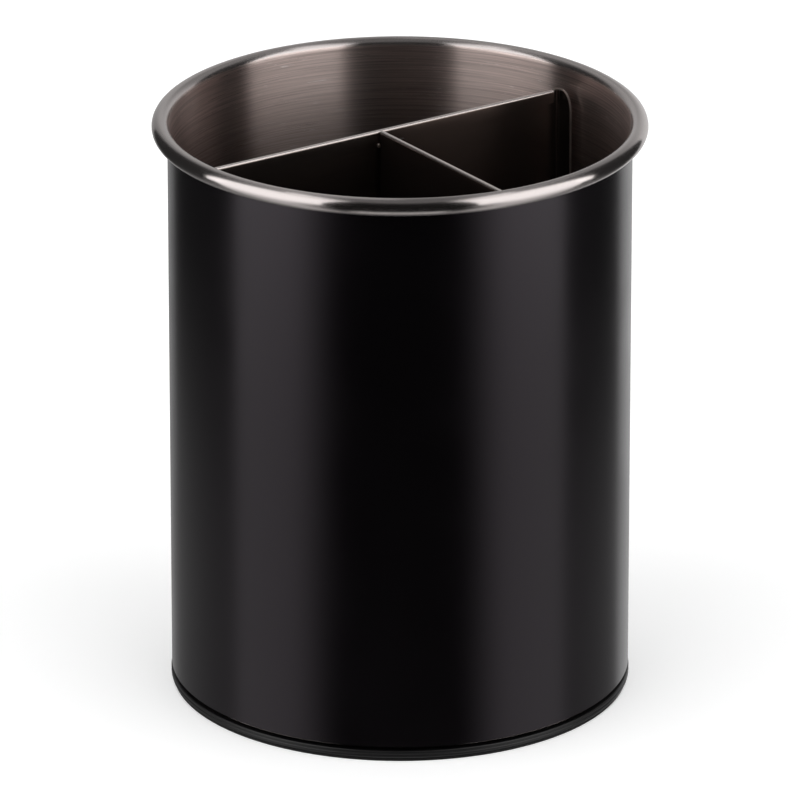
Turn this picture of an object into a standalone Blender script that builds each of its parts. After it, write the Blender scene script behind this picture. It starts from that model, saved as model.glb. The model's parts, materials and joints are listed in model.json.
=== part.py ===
"""Rotating cutlery holder: a steel canister with a lift-out divider, on a ball-bearing turntable.

Metres, +Z up. The origin is on the canister's axis, in the plane that the rubber foot stands on.
+X runs along the main divider, and the two quarter compartments lie on the -Y side.
Every piece that turns has its own origin, and its parent empty, on that axis.
"""
import math

import bmesh
import bpy
from mathutils import Matrix

# Fits
SEAT_GAP = 0.0003
CUT_OVERRUN = 0.001

# Canister wall: one steel sheet, rolled to a tube, with its upper edge curled outwards to a bead
TOTAL_HEIGHT = 0.194
BODY_RADIUS = 0.075
WALL_SHEET = 0.00065
BEAD_RADIUS = 0.00285
BEAD_END_GAP = 0.0005

# Canister floor: a pressed disc with its edge turned down inside the wall
FLOOR_SHEET = 0.0006
FLOOR_CORNER_RADIUS = 0.002
FLOOR_FLANGE_HEIGHT = 0.0065

# Rubber foot ring, held by its rib in a groove under the base plate
FOOT_TREAD_HEIGHT = 0.0009
FOOT_RADIUS = 0.0746
FOOT_WIDTH = 0.0085
FOOT_RIB_WIDTH = 0.0026
FOOT_RIB_HEIGHT = 0.001

# Base plate: a moulded disc whose edge shows as a ring under the canister
BASE_RADIUS = 0.0752
BASE_THICKNESS = 0.0024
BASE_EDGE_CHAMFER = 0.0004
WALL_RUNNING_GAP = 0.0012
DUST_LIP_HEIGHT = 0.0035
DUST_LIP_WIDTH = 0.0014
DUST_LIP_GAP = 0.0015
RACE_RIB_HEIGHT = 0.001
RACE_RIB_WIDTH = 0.0012

# Ball bearing: two pressed races, a ring of balls and the cage that spaces them
BEARING_RADIUS = 0.05
RACE_WIDTH = 0.009
RACE_THICKNESS = 0.0016
GROOVE_DEPTH = 0.0008
GROOVE_MOUTH_WIDTH = 0.0054
GROOVE_FLOOR_WIDTH = 0.0026
BALL_RADIUS = 0.003
BALL_COUNT = 12
CAGE_THICKNESS = 0.0026
CAGE_WIDTH = 0.0094
POCKET_GAP = 0.0004

# Turntable plate: the moulded disc that carries the canister on the upper race
TURNTABLE_THICKNESS = 0.002
TURNTABLE_BOSS_WALL = 0.003

# Pivot: a shoulder screw from below, through the bush in the base, into the insert in the turntable
PLUG_THICKNESS = 0.0009
PLUG_CHAMFER = 0.0003
PIVOT_HEAD_RADIUS = 0.0062
PIVOT_HEAD_HEIGHT = 0.0016
PIVOT_HEAD_CHAMFER = 0.0004
PIVOT_SOCKET_RADIUS = 0.0019
PIVOT_SOCKET_DEPTH = 0.0009
PIVOT_SHOULDER_RADIUS = 0.003
PIVOT_THREAD_RADIUS = 0.0022
PIVOT_TIP_GAP = 0.0006
PIVOT_WASHER_RADIUS = 0.0068
PIVOT_WASHER_THICKNESS = 0.0006
WAVE_WASHER_RADIUS = 0.0062
WAVE_WASHER_SHEET = 0.00025
WAVE_WASHER_RISE = 0.00025
WAVE_COUNT = 3
WASHER_BORE_GAP = 0.0003
HUB_SIDE_GAP = 0.0006
HUB_WALL = 0.0024
HUB_WEB_THICKNESS = 0.002
BUSH_WALL = 0.0018
BUSH_RUNNING_GAP = 0.0003
BUSH_FLANGE_RADIUS = 0.0078
BUSH_FLANGE_THICKNESS = 0.0008
INSERT_WALL = 0.0018
INSERT_HEIGHT = 0.0036

# Three weld studs under the canister floor, with their washers and nuts under the turntable plate
STUD_COUNT = 3
STUD_CIRCLE_RADIUS = 0.03
STUD_RADIUS = 0.0015
STUD_FLANGE_RADIUS = 0.0023
STUD_FLANGE_HEIGHT = 0.0007
STUD_TIP_LENGTH = 0.0007
STUD_WASHER_RADIUS = 0.0035
STUD_WASHER_THICKNESS = 0.0005
NUT_ACROSS_FLATS = 0.0055
NUT_HEIGHT = 0.0024

# Divider: two folded sheets, welded together in a T, that lift out of the canister as one insert
DIVIDER_SHEET = 0.0008
DIVIDER_DROP = 0.0082
DIVIDER_OFFSET = 0.0116
HEM_HEIGHT = 0.0042
HEM_BULGE = 0.0001
BEND_RADIUS = 0.0012
END_PLAY = 0.0021
END_FLANGE_WIDTH = 0.0047
END_FLANGE_CORNER = 0.0044
END_FLANGE_CORNER_HEIGHT = 0.007
HEM_END_SETBACK = 0.0012
WELD_FLANGE_WIDTH = 0.009

# Facets
LARGE_SEGMENTS = 48
RACE_SEGMENTS = 36
HUB_SEGMENTS = 20
STUD_SEGMENTS = 10
POCKET_SEGMENTS = 12
BALL_SEGMENTS = 10
BALL_RINGS = 6
BEAD_TOP_STEPS = 8
BEAD_UNDER_STEPS = 6
BEAD_INNER_STEPS = 8
FLOOR_CORNER_STEPS = 3
BEND_STEPS = 4
FLANGE_STEPS = 3
CORNER_STEPS = 8
HEM_STEPS = 5
SHARP_ANGLE = math.radians(35)
WELD_DISTANCE = 0.000001

# Heights, from the table upwards
BASE_UNDERSIDE = FOOT_TREAD_HEIGHT + SEAT_GAP
BASE_TOP = BASE_UNDERSIDE + BASE_THICKNESS
WALL_BOTTOM = BASE_TOP + WALL_RUNNING_GAP
LOWER_RACE_BOTTOM = BASE_TOP + SEAT_GAP
LOWER_RACE_TOP = LOWER_RACE_BOTTOM + RACE_THICKNESS
BALL_HEIGHT = LOWER_RACE_TOP - GROOVE_DEPTH + SEAT_GAP + BALL_RADIUS
UPPER_RACE_BOTTOM = BALL_HEIGHT + BALL_RADIUS + SEAT_GAP - GROOVE_DEPTH
UPPER_RACE_TOP = UPPER_RACE_BOTTOM + RACE_THICKNESS
TURNTABLE_BOTTOM = UPPER_RACE_TOP + SEAT_GAP
TURNTABLE_TOP = TURNTABLE_BOTTOM + TURNTABLE_THICKNESS
FLOOR_BOTTOM = TURNTABLE_TOP + SEAT_GAP
FLOOR_TOP = FLOOR_BOTTOM + FLOOR_SHEET

# Heights of the pivot, from the base plate's underside upwards
PIVOT_HEAD_BOTTOM = BASE_UNDERSIDE + PLUG_THICKNESS + SEAT_GAP
PIVOT_HEAD_TOP = PIVOT_HEAD_BOTTOM + PIVOT_HEAD_HEIGHT
PIVOT_WASHER_BOTTOM = PIVOT_HEAD_TOP + SEAT_GAP
WAVE_WASHER_BOTTOM = PIVOT_WASHER_BOTTOM + PIVOT_WASHER_THICKNESS + SEAT_GAP
WAVE_WASHER_TOP = WAVE_WASHER_BOTTOM + WAVE_WASHER_SHEET + 2 * WAVE_WASHER_RISE
HUB_WEB_BOTTOM = WAVE_WASHER_TOP + SEAT_GAP
HUB_WEB_TOP = HUB_WEB_BOTTOM + HUB_WEB_THICKNESS
BUSH_TOP = HUB_WEB_TOP + SEAT_GAP + BUSH_FLANGE_THICKNESS
TURNTABLE_BOSS_BOTTOM = BUSH_TOP + SEAT_GAP
INSERT_BOTTOM = TURNTABLE_BOSS_BOTTOM + SEAT_GAP

# Radii
WALL_INNER_RADIUS = BODY_RADIUS - WALL_SHEET
BEAD_CENTRE_RADIUS = WALL_INNER_RADIUS + BEAD_RADIUS
BEAD_CENTRE_HEIGHT = TOTAL_HEIGHT - BEAD_RADIUS
FLOOR_RADIUS = WALL_INNER_RADIUS - SEAT_GAP
TURNTABLE_RADIUS = FLOOR_RADIUS - FLOOR_CORNER_RADIUS - SEAT_GAP
RACE_INNER_RADIUS = BEARING_RADIUS - RACE_WIDTH / 2
RACE_OUTER_RADIUS = BEARING_RADIUS + RACE_WIDTH / 2
RACE_RIB_INNER_RADIUS = RACE_OUTER_RADIUS + SEAT_GAP
RACE_RIB_OUTER_RADIUS = RACE_RIB_INNER_RADIUS + RACE_RIB_WIDTH
HUB_RECESS_RADIUS = PIVOT_WASHER_RADIUS + HUB_SIDE_GAP
HUB_OUTER_RADIUS = HUB_RECESS_RADIUS + HUB_WALL
BUSH_BORE_RADIUS = PIVOT_SHOULDER_RADIUS + BUSH_RUNNING_GAP
BUSH_OUTER_RADIUS = BUSH_BORE_RADIUS + BUSH_WALL
INSERT_BORE_RADIUS = PIVOT_THREAD_RADIUS + SEAT_GAP
INSERT_OUTER_RADIUS = INSERT_BORE_RADIUS + INSERT_WALL
FOOT_RIB_RADIUS = FOOT_RADIUS - FOOT_WIDTH / 2

# Divider places
HEM_RADIUS = DIVIDER_SHEET + HEM_BULGE
DIVIDER_TOP = TOTAL_HEIGHT - DIVIDER_DROP
DIVIDER_BOTTOM = FLOOR_TOP + SEAT_GAP
HEM_BOTTOM = DIVIDER_TOP - HEM_HEIGHT
MAIN_SHEET_Y = DIVIDER_OFFSET + DIVIDER_SHEET / 2
MAIN_HEM_FRONT_Y = DIVIDER_OFFSET - HEM_RADIUS
FLANGE_RADIUS = WALL_INNER_RADIUS - END_PLAY - DIVIDER_SHEET / 2
FLANGE_CORNER = min(END_FLANGE_CORNER, END_FLANGE_WIDTH)
BEND_LINE_RADIUS = BEND_RADIUS + DIVIDER_SHEET / 2
WELD_FLANGE_Y = MAIN_SHEET_Y - DIVIDER_SHEET - SEAT_GAP

# Axes of a section drawn flat, with its height along Y, when it is raised along the X or the -Y axis
SECTION_ALONG_X = Matrix(((0, 0, 1, 0), (1, 0, 0, 0), (0, 1, 0, 0), (0, 0, 0, 1)))
SECTION_ALONG_MINUS_Y = Matrix(((1, 0, 0, 0), (0, 0, -1, 0), (0, 1, 0, 0), (0, 0, 0, 1)))

MATERIALS = {
    "coated_steel": ((0.012, 0.012, 0.013), 0.38, 0.0),
    "brushed_steel": ((0.55, 0.53, 0.51), 0.32, 1.0),
    "divider_steel": ((0.50, 0.49, 0.47), 0.28, 1.0),
    "black_abs": ((0.015, 0.015, 0.016), 0.55, 0.0),
    "white_abs": ((0.75, 0.75, 0.72), 0.5, 0.0),
    "black_rubber": ((0.02, 0.02, 0.02), 0.85, 0.0),
    "race_steel": ((0.60, 0.60, 0.60), 0.35, 1.0),
    "ball_steel": ((0.70, 0.70, 0.70), 0.1, 1.0),
    "nylon": ((0.82, 0.80, 0.74), 0.45, 0.0),
    "acetal": ((0.85, 0.85, 0.83), 0.35, 0.0),
    "brass": ((0.75, 0.58, 0.28), 0.3, 1.0),
    "zinc_plate": ((0.62, 0.62, 0.63), 0.3, 1.0),
}


def clear_scene():
    """Remove every object of the scene that the script starts in."""
    for obj in list(bpy.data.objects):
        bpy.data.objects.remove(obj, do_unlink=True)


def new_collection(name):
    """Return a new collection, linked to the scene."""
    collection = bpy.data.collections.new(name)
    bpy.context.scene.collection.children.link(collection)
    return collection


def new_material(name):
    """Return the material of that name, made on its first use."""
    known = bpy.data.materials.get(name)
    if known:
        return known
    colour, roughness, metallic = MATERIALS[name]
    material = bpy.data.materials.new(name)
    material.use_nodes = True
    shader = material.node_tree.nodes["Principled BSDF"]
    shader.inputs["Base Color"].default_value = (*colour, 1.0)
    shader.inputs["Roughness"].default_value = roughness
    shader.inputs["Metallic"].default_value = metallic
    return material


def arc(centre, radius, start, end, steps):
    """Return the points of an arc, both ends included, for angles in degrees."""
    points = []
    for step in range(steps + 1):
        angle = math.radians(start + (end - start) * step / steps)
        points.append((centre[0] + radius * math.cos(angle), centre[1] + radius * math.sin(angle)))
    return points


def circle(centre, radius, segments):
    """Return the corners of a closed circle."""
    return arc(centre, radius, 0, 360, segments)[:-1]


def evaluated_mesh(obj):
    """Return an object's mesh with its modifiers applied, and its doubles welded."""
    bpy.context.view_layer.update()
    mesh = bpy.data.meshes.new_from_object(obj.evaluated_get(bpy.context.evaluated_depsgraph_get()))
    soup = bmesh.new()
    soup.from_mesh(mesh)
    bmesh.ops.remove_doubles(soup, verts=soup.verts, dist=WELD_DISTANCE)
    soup.to_mesh(mesh)
    soup.free()
    return mesh


def mesh_object(name, mesh, collection, material=None, parent=None):
    """Put a finished mesh in the scene as one named piece, shaded smooth between sharp edges."""
    mesh.name = name
    mesh.shade_smooth()
    mesh.set_sharp_from_angle(angle=SHARP_ANGLE)
    mesh.materials.clear()
    if material:
        mesh.materials.append(new_material(material))
    obj = bpy.data.objects.new(name, mesh)
    collection.objects.link(obj)
    obj.parent = parent
    return obj


def turned_mesh(profile, segments, closed=True):
    """Turn a profile of (radius, height) points about Z.

    The profile runs down its outer side. A closed one makes a ring, an open one starts and ends on the axis.
    """
    mesh = bpy.data.meshes.new("profile")
    edges = [(index, index + 1) for index in range(len(profile) - 1)]
    if closed:
        edges.append((len(profile) - 1, 0))
    mesh.from_pydata([(radius, 0, height) for radius, height in profile], edges, [])
    lathe = bpy.data.objects.new("profile", mesh)
    bpy.context.scene.collection.objects.link(lathe)
    screw = lathe.modifiers.new("turn", "SCREW")
    screw.steps = segments
    screw.render_steps = segments
    screw.use_merge_vertices = True
    screw.merge_threshold = WELD_DISTANCE
    result = evaluated_mesh(lathe)
    bpy.data.objects.remove(lathe, do_unlink=True)
    return result


def outline_mesh(outlines, low, high):
    """Raise flat outlines from the height low to the height high; one inside another is a hole."""
    curve = bpy.data.curves.new("outline", "CURVE")
    curve.dimensions = "2D"
    curve.fill_mode = "BOTH"
    curve.extrude = (high - low) / 2
    for outline in outlines:
        spline = curve.splines.new("POLY")
        spline.points.add(len(outline) - 1)
        for point, (along, across) in zip(spline.points, outline):
            point.co = (along, across, 0, 1)
        spline.use_cyclic_u = True
    raised = bpy.data.objects.new("outline", curve)
    bpy.context.scene.collection.objects.link(raised)
    mesh = evaluated_mesh(raised)
    bpy.data.objects.remove(raised, do_unlink=True)
    mesh.transform(Matrix.Translation((0, 0, (low + high) / 2)))
    return mesh


def ring_of_copies(mesh, count, radius):
    """Return one mesh with copies of a mesh spaced evenly on a circle about Z."""
    group = bmesh.new()
    for index in range(count):
        turn = Matrix.Rotation(2 * math.pi * index / count, 4, "Z")
        copy = mesh.copy()
        copy.transform(turn @ Matrix.Translation((radius, 0, 0)))
        group.from_mesh(copy)
        bpy.data.meshes.remove(copy)
    result = bpy.data.meshes.new("copies")
    group.to_mesh(result)
    group.free()
    return result


def place_ring(name, mesh, count, radius, collection, material, parent):
    """Place copies of a mesh evenly on a circle about Z, each as a piece with a number in its name."""
    for index in range(count):
        angle = 2 * math.pi * index / count
        obj = mesh_object(name + "_" + str(index + 1), mesh, collection, material, parent)
        obj.location = (radius * math.cos(angle), radius * math.sin(angle), 0)
        obj.rotation_euler = (0, 0, angle)


def boolean(obj, other, operation):
    """Cut an object with another, or join the other to it, by a modifier that stays on the object."""
    modifier = obj.modifiers.new(operation.lower(), "BOOLEAN")
    modifier.operation = operation
    modifier.object = other
    modifier.solver = "EXACT"


def cutter(name, mesh, cutters):
    """Put a mesh in the scene as a cutter, drawn as wire and left out of renders."""
    obj = mesh_object(name, mesh, cutters)
    obj.display_type = "WIRE"
    obj.hide_render = True
    return obj


def washer_profile(inner, outer, low, high):
    """Return the square section of a plain ring."""
    return [(outer, high), (outer, low), (inner, low), (inner, high)]


def race_profile(face, back):
    """Return the section of a race: its grooved face at one height and its flat back at the other."""
    groove = face + math.copysign(GROOVE_DEPTH, back - face)
    section = [
        (RACE_OUTER_RADIUS, face),
        (RACE_OUTER_RADIUS, back),
        (RACE_INNER_RADIUS, back),
        (RACE_INNER_RADIUS, face),
        (BEARING_RADIUS - GROOVE_MOUTH_WIDTH / 2, face),
        (BEARING_RADIUS - GROOVE_FLOOR_WIDTH / 2, groove),
        (BEARING_RADIUS + GROOVE_FLOOR_WIDTH / 2, groove),
        (BEARING_RADIUS + GROOVE_MOUTH_WIDTH / 2, face),
    ]
    if back > face:
        section.reverse()
    return section


def wall_profile():
    """Return the wall's section, with the bead curled outwards from its upper edge."""
    centre = (BEAD_CENTRE_RADIUS, BEAD_CENTRE_HEIGHT)
    inside = BEAD_RADIUS - WALL_SHEET
    end_reach = BODY_RADIUS + BEAD_END_GAP - BEAD_CENTRE_RADIUS
    end = -math.degrees(math.acos(end_reach / BEAD_RADIUS))
    outer_skin = arc(centre, BEAD_RADIUS, 180, 0, BEAD_TOP_STEPS)
    outer_skin += arc(centre, BEAD_RADIUS, 0, end, BEAD_UNDER_STEPS)[1:]
    inner_skin = arc(centre, inside, end, 180, BEAD_INNER_STEPS)
    foot = [(BODY_RADIUS, WALL_BOTTOM), (WALL_INNER_RADIUS, WALL_BOTTOM)]
    return outer_skin + inner_skin + foot


def floor_profile():
    """Return the floor's section: flat, then turned down at its edge."""
    corner_radius = FLOOR_RADIUS - FLOOR_CORNER_RADIUS
    corner_height = FLOOR_TOP - FLOOR_CORNER_RADIUS
    flange_bottom = FLOOR_TOP - FLOOR_FLANGE_HEIGHT
    corner = (corner_radius, corner_height)
    inner_corner = FLOOR_CORNER_RADIUS - FLOOR_SHEET
    outer_side = arc(corner, FLOOR_CORNER_RADIUS, 90, 0, FLOOR_CORNER_STEPS)
    edge = [(FLOOR_RADIUS, flange_bottom), (FLOOR_RADIUS - FLOOR_SHEET, flange_bottom)]
    inner_side = arc(corner, inner_corner, 0, 90, FLOOR_CORNER_STEPS)
    return [(0, FLOOR_TOP)] + outer_side + edge + inner_side + [(0, FLOOR_BOTTOM)]


def base_profile():
    """Return the base plate's section, from its edge over the underside to the hub and back."""
    rib_half = FOOT_RIB_WIDTH / 2 + SEAT_GAP
    groove_top = FOOT_TREAD_HEIGHT + FOOT_RIB_HEIGHT + SEAT_GAP
    lip_outer = FLOOR_RADIUS - FLOOR_SHEET - DUST_LIP_GAP
    lip_inner = lip_outer - DUST_LIP_WIDTH
    bore = BUSH_OUTER_RADIUS + SEAT_GAP
    return [
        (BASE_RADIUS - BASE_EDGE_CHAMFER, BASE_TOP),
        (BASE_RADIUS, BASE_TOP - BASE_EDGE_CHAMFER),
        (BASE_RADIUS, BASE_UNDERSIDE + BASE_EDGE_CHAMFER),
        (BASE_RADIUS - BASE_EDGE_CHAMFER, BASE_UNDERSIDE),
        (FOOT_RIB_RADIUS + rib_half, BASE_UNDERSIDE),
        (FOOT_RIB_RADIUS + rib_half, groove_top),
        (FOOT_RIB_RADIUS - rib_half, groove_top),
        (FOOT_RIB_RADIUS - rib_half, BASE_UNDERSIDE),
        (HUB_RECESS_RADIUS, BASE_UNDERSIDE),
        (HUB_RECESS_RADIUS, HUB_WEB_BOTTOM),
        (bore, HUB_WEB_BOTTOM),
        (bore, HUB_WEB_TOP),
        (HUB_OUTER_RADIUS, HUB_WEB_TOP),
        (HUB_OUTER_RADIUS, BASE_TOP),
        (RACE_RIB_INNER_RADIUS, BASE_TOP),
        (RACE_RIB_INNER_RADIUS, BASE_TOP + RACE_RIB_HEIGHT),
        (RACE_RIB_OUTER_RADIUS, BASE_TOP + RACE_RIB_HEIGHT),
        (RACE_RIB_OUTER_RADIUS, BASE_TOP),
        (lip_inner, BASE_TOP),
        (lip_inner, BASE_TOP + DUST_LIP_HEIGHT),
        (lip_outer, BASE_TOP + DUST_LIP_HEIGHT),
        (lip_outer, BASE_TOP),
    ]


def foot_profile():
    """Return the rubber ring's section: a flat tread with a rib on its back."""
    rib_half = FOOT_RIB_WIDTH / 2
    rib_top = FOOT_TREAD_HEIGHT + FOOT_RIB_HEIGHT
    return [
        (FOOT_RADIUS, FOOT_TREAD_HEIGHT),
        (FOOT_RADIUS, 0),
        (FOOT_RADIUS - FOOT_WIDTH, 0),
        (FOOT_RADIUS - FOOT_WIDTH, FOOT_TREAD_HEIGHT),
        (FOOT_RIB_RADIUS - rib_half, FOOT_TREAD_HEIGHT),
        (FOOT_RIB_RADIUS - rib_half, rib_top),
        (FOOT_RIB_RADIUS + rib_half, rib_top),
        (FOOT_RIB_RADIUS + rib_half, FOOT_TREAD_HEIGHT),
    ]


def turntable_profile():
    """Return the turntable plate's section, with its race rib and the boss that holds the insert."""
    bore = INSERT_OUTER_RADIUS + SEAT_GAP
    boss = bore + TURNTABLE_BOSS_WALL
    rib_bottom = TURNTABLE_BOTTOM - RACE_RIB_HEIGHT
    return [
        (TURNTABLE_RADIUS, TURNTABLE_TOP),
        (TURNTABLE_RADIUS, TURNTABLE_BOTTOM),
        (RACE_RIB_OUTER_RADIUS, TURNTABLE_BOTTOM),
        (RACE_RIB_OUTER_RADIUS, rib_bottom),
        (RACE_RIB_INNER_RADIUS, rib_bottom),
        (RACE_RIB_INNER_RADIUS, TURNTABLE_BOTTOM),
        (boss, TURNTABLE_BOTTOM),
        (boss, TURNTABLE_BOSS_BOTTOM),
        (bore, TURNTABLE_BOSS_BOTTOM),
        (bore, TURNTABLE_TOP),
    ]


def bush_profile():
    """Return the section of the flanged bush that lines the hub's bore."""
    flange_bottom = BUSH_TOP - BUSH_FLANGE_THICKNESS
    return [
        (BUSH_FLANGE_RADIUS, BUSH_TOP),
        (BUSH_FLANGE_RADIUS, flange_bottom),
        (BUSH_OUTER_RADIUS, flange_bottom),
        (BUSH_OUTER_RADIUS, HUB_WEB_BOTTOM),
        (BUSH_BORE_RADIUS, HUB_WEB_BOTTOM),
        (BUSH_BORE_RADIUS, BUSH_TOP),
    ]


def pivot_profile():
    """Return the shoulder screw's section: thread, shoulder and the chamfered head."""
    shoulder_top = INSERT_BOTTOM - SEAT_GAP
    tip = INSERT_BOTTOM + INSERT_HEIGHT - PIVOT_TIP_GAP
    return [
        (0, tip),
        (PIVOT_THREAD_RADIUS, tip),
        (PIVOT_THREAD_RADIUS, shoulder_top),
        (PIVOT_SHOULDER_RADIUS, shoulder_top),
        (PIVOT_SHOULDER_RADIUS, PIVOT_HEAD_TOP),
        (PIVOT_HEAD_RADIUS, PIVOT_HEAD_TOP),
        (PIVOT_HEAD_RADIUS, PIVOT_HEAD_BOTTOM + PIVOT_HEAD_CHAMFER),
        (PIVOT_HEAD_RADIUS - PIVOT_HEAD_CHAMFER, PIVOT_HEAD_BOTTOM),
        (0, PIVOT_HEAD_BOTTOM),
    ]


def plug_profile():
    """Return the section of the plug that closes the hub's recess from below."""
    radius = HUB_RECESS_RADIUS - SEAT_GAP
    top = BASE_UNDERSIDE + PLUG_THICKNESS
    return [
        (0, top),
        (radius - PLUG_CHAMFER, top),
        (radius, top - PLUG_CHAMFER),
        (radius, BASE_UNDERSIDE),
        (0, BASE_UNDERSIDE),
    ]


def stud_profile():
    """Return the section of a weld stud that hangs under the canister floor."""
    top = FLOOR_BOTTOM - SEAT_GAP
    nut_bottom = TURNTABLE_BOTTOM - STUD_WASHER_THICKNESS - NUT_HEIGHT - 2 * SEAT_GAP
    tip = nut_bottom - STUD_TIP_LENGTH
    return [
        (0, top),
        (STUD_FLANGE_RADIUS, top),
        (STUD_FLANGE_RADIUS, top - STUD_FLANGE_HEIGHT),
        (STUD_RADIUS, top - STUD_FLANGE_HEIGHT),
        (STUD_RADIUS, tip),
        (0, tip),
    ]


def wave_washer_mesh():
    """Return a thin ring whose height runs in waves round the axis."""
    inner = PIVOT_SHOULDER_RADIUS + WASHER_BORE_GAP
    middle = WAVE_WASHER_BOTTOM + WAVE_WASHER_RISE
    flat = washer_profile(inner, WAVE_WASHER_RADIUS, middle, middle + WAVE_WASHER_SHEET)
    mesh = turned_mesh(flat, RACE_SEGMENTS)
    for vertex in mesh.vertices:
        angle = math.atan2(vertex.co.y, vertex.co.x)
        vertex.co.z += WAVE_WASHER_RISE * math.sin(WAVE_COUNT * angle)
    return mesh


def ball_mesh():
    """Return one ball, at the bearing's height over the origin."""
    sphere = bmesh.new()
    bmesh.ops.create_uvsphere(
        sphere,
        u_segments=BALL_SEGMENTS,
        v_segments=BALL_RINGS,
        radius=BALL_RADIUS,
        matrix=Matrix.Translation((0, 0, BALL_HEIGHT)),
    )
    mesh = bpy.data.meshes.new("ball")
    sphere.to_mesh(mesh)
    sphere.free()
    return mesh


def cage_mesh():
    """Return the cage: a flat ring with a round pocket for each ball."""
    outlines = [
        circle((0, 0), BEARING_RADIUS + CAGE_WIDTH / 2, RACE_SEGMENTS),
        circle((0, 0), BEARING_RADIUS - CAGE_WIDTH / 2, RACE_SEGMENTS),
    ]
    for index in range(BALL_COUNT):
        angle = 2 * math.pi * index / BALL_COUNT
        centre = (BEARING_RADIUS * math.cos(angle), BEARING_RADIUS * math.sin(angle))
        outlines.append(circle(centre, BALL_RADIUS + POCKET_GAP, POCKET_SEGMENTS))
    low = BALL_HEIGHT - CAGE_THICKNESS / 2
    return outline_mesh(outlines, low, low + CAGE_THICKNESS)


def nut_mesh():
    """Return one hexagon nut, under its washer and round its stud."""
    corner_radius = NUT_ACROSS_FLATS / 2 / math.cos(math.pi / 6)
    top = TURNTABLE_BOTTOM - STUD_WASHER_THICKNESS - 2 * SEAT_GAP
    hexagon = circle((0, 0), corner_radius, 6)
    bore = circle((0, 0), STUD_RADIUS + SEAT_GAP, STUD_SEGMENTS)
    return outline_mesh([hexagon, bore], top - NUT_HEIGHT, top)


def wall_bend(sheet_line, offset):
    """Return one end of a divider's plan, from the end of its straight run round to its free edge.

    The straight run lies at the distance sheet_line from the axis, along +X, and the flange turns to
    -Y and follows the wall. The offset moves the line outwards, to one face of the sheet or the other.
    """
    level = sheet_line - BEND_LINE_RADIUS
    centre = (math.sqrt((FLANGE_RADIUS - BEND_LINE_RADIUS) ** 2 - level ** 2), level)
    meeting = math.degrees(math.atan2(centre[1], centre[0]))
    free_edge = meeting - math.degrees(END_FLANGE_WIDTH / FLANGE_RADIUS)
    bend = arc(centre, BEND_LINE_RADIUS + offset, 90, meeting, BEND_STEPS)
    flange = arc((0, 0), FLANGE_RADIUS + offset, meeting, free_edge, FLANGE_STEPS)
    return bend + flange[1:]


def hem_mesh(start, end, middle, axes):
    """Return a hem: a bar along a divider's upper edge, round on top, as the sheet's fold leaves it."""
    section = [(middle - HEM_RADIUS, HEM_BOTTOM), (middle + HEM_RADIUS, HEM_BOTTOM)]
    section += arc((middle, DIVIDER_TOP - HEM_RADIUS), HEM_RADIUS, 0, 180, HEM_STEPS)
    mesh = outline_mesh([section], start, end)
    mesh.transform(axes)
    return mesh


def box_mesh(low, high):
    """Return a box between two opposite corners."""
    outline = [(low[0], low[1]), (high[0], low[1]), (high[0], high[1]), (low[0], high[1])]
    return outline_mesh([outline], low[2], high[2])


def corner_mesh(free_edge, inwards, start, end, axes):
    """Return the cutter that rounds a flange's upper corner, to a curve that is taller than it is wide.

    The flange is seen square on: free_edge is its edge and inwards, 1 or -1, the way to its bend.
    """
    centre = (free_edge + inwards * FLANGE_CORNER, DIVIDER_TOP - END_FLANGE_CORNER_HEIGHT)
    stretch = END_FLANGE_CORNER_HEIGHT / FLANGE_CORNER
    outside = free_edge - inwards * CUT_OVERRUN
    above = DIVIDER_TOP + CUT_OVERRUN
    quarter = arc((0, 0), FLANGE_CORNER, 90, 180, CORNER_STEPS)
    outline = [(centre[0], above)]
    outline += [(centre[0] + inwards * along, centre[1] + stretch * height) for along, height in quarter]
    outline += [(outside, centre[1]), (outside, above)]
    mesh = outline_mesh([outline], start, end)
    mesh.transform(axes)
    return mesh


def build_main_divider(parts, cutters, parent):
    """Build the divider that crosses the canister, with a hem on top and a flange at each end."""
    outer = wall_bend(MAIN_SHEET_Y, DIVIDER_SHEET / 2)
    inner = wall_bend(MAIN_SHEET_Y, -DIVIDER_SHEET / 2)
    left_outer = [(-along, across) for along, across in outer]
    left_inner = [(-along, across) for along, across in inner]
    outline = outer + inner[::-1] + left_inner + left_outer[::-1]
    sheet = outline_mesh([outline], DIVIDER_BOTTOM, DIVIDER_TOP)
    divider = mesh_object("main_divider", sheet, parts, "divider_steel", parent)
    straight_end = outer[0][0]
    free_edge = wall_bend(MAIN_SHEET_Y, 0)[-1][1]
    hem_end = straight_end - HEM_END_SETBACK
    band = box_mesh(
        (-hem_end, MAIN_SHEET_Y - DIVIDER_SHEET, DIVIDER_TOP - HEM_HEIGHT / 2),
        (hem_end, MAIN_SHEET_Y + DIVIDER_SHEET, DIVIDER_TOP + CUT_OVERRUN),
    )
    boolean(divider, cutter("main_hem_band", band, cutters), "DIFFERENCE")
    hem = hem_mesh(-hem_end - SEAT_GAP, hem_end + SEAT_GAP, DIVIDER_OFFSET, SECTION_ALONG_X)
    boolean(divider, cutter("main_hem", hem, cutters), "UNION")
    for side, start, end in (("right", straight_end, BODY_RADIUS), ("left", -BODY_RADIUS, -straight_end)):
        corner = corner_mesh(free_edge, 1, start, end, SECTION_ALONG_X)
        boolean(divider, cutter("main_corner_" + side, corner, cutters), "DIFFERENCE")


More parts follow.
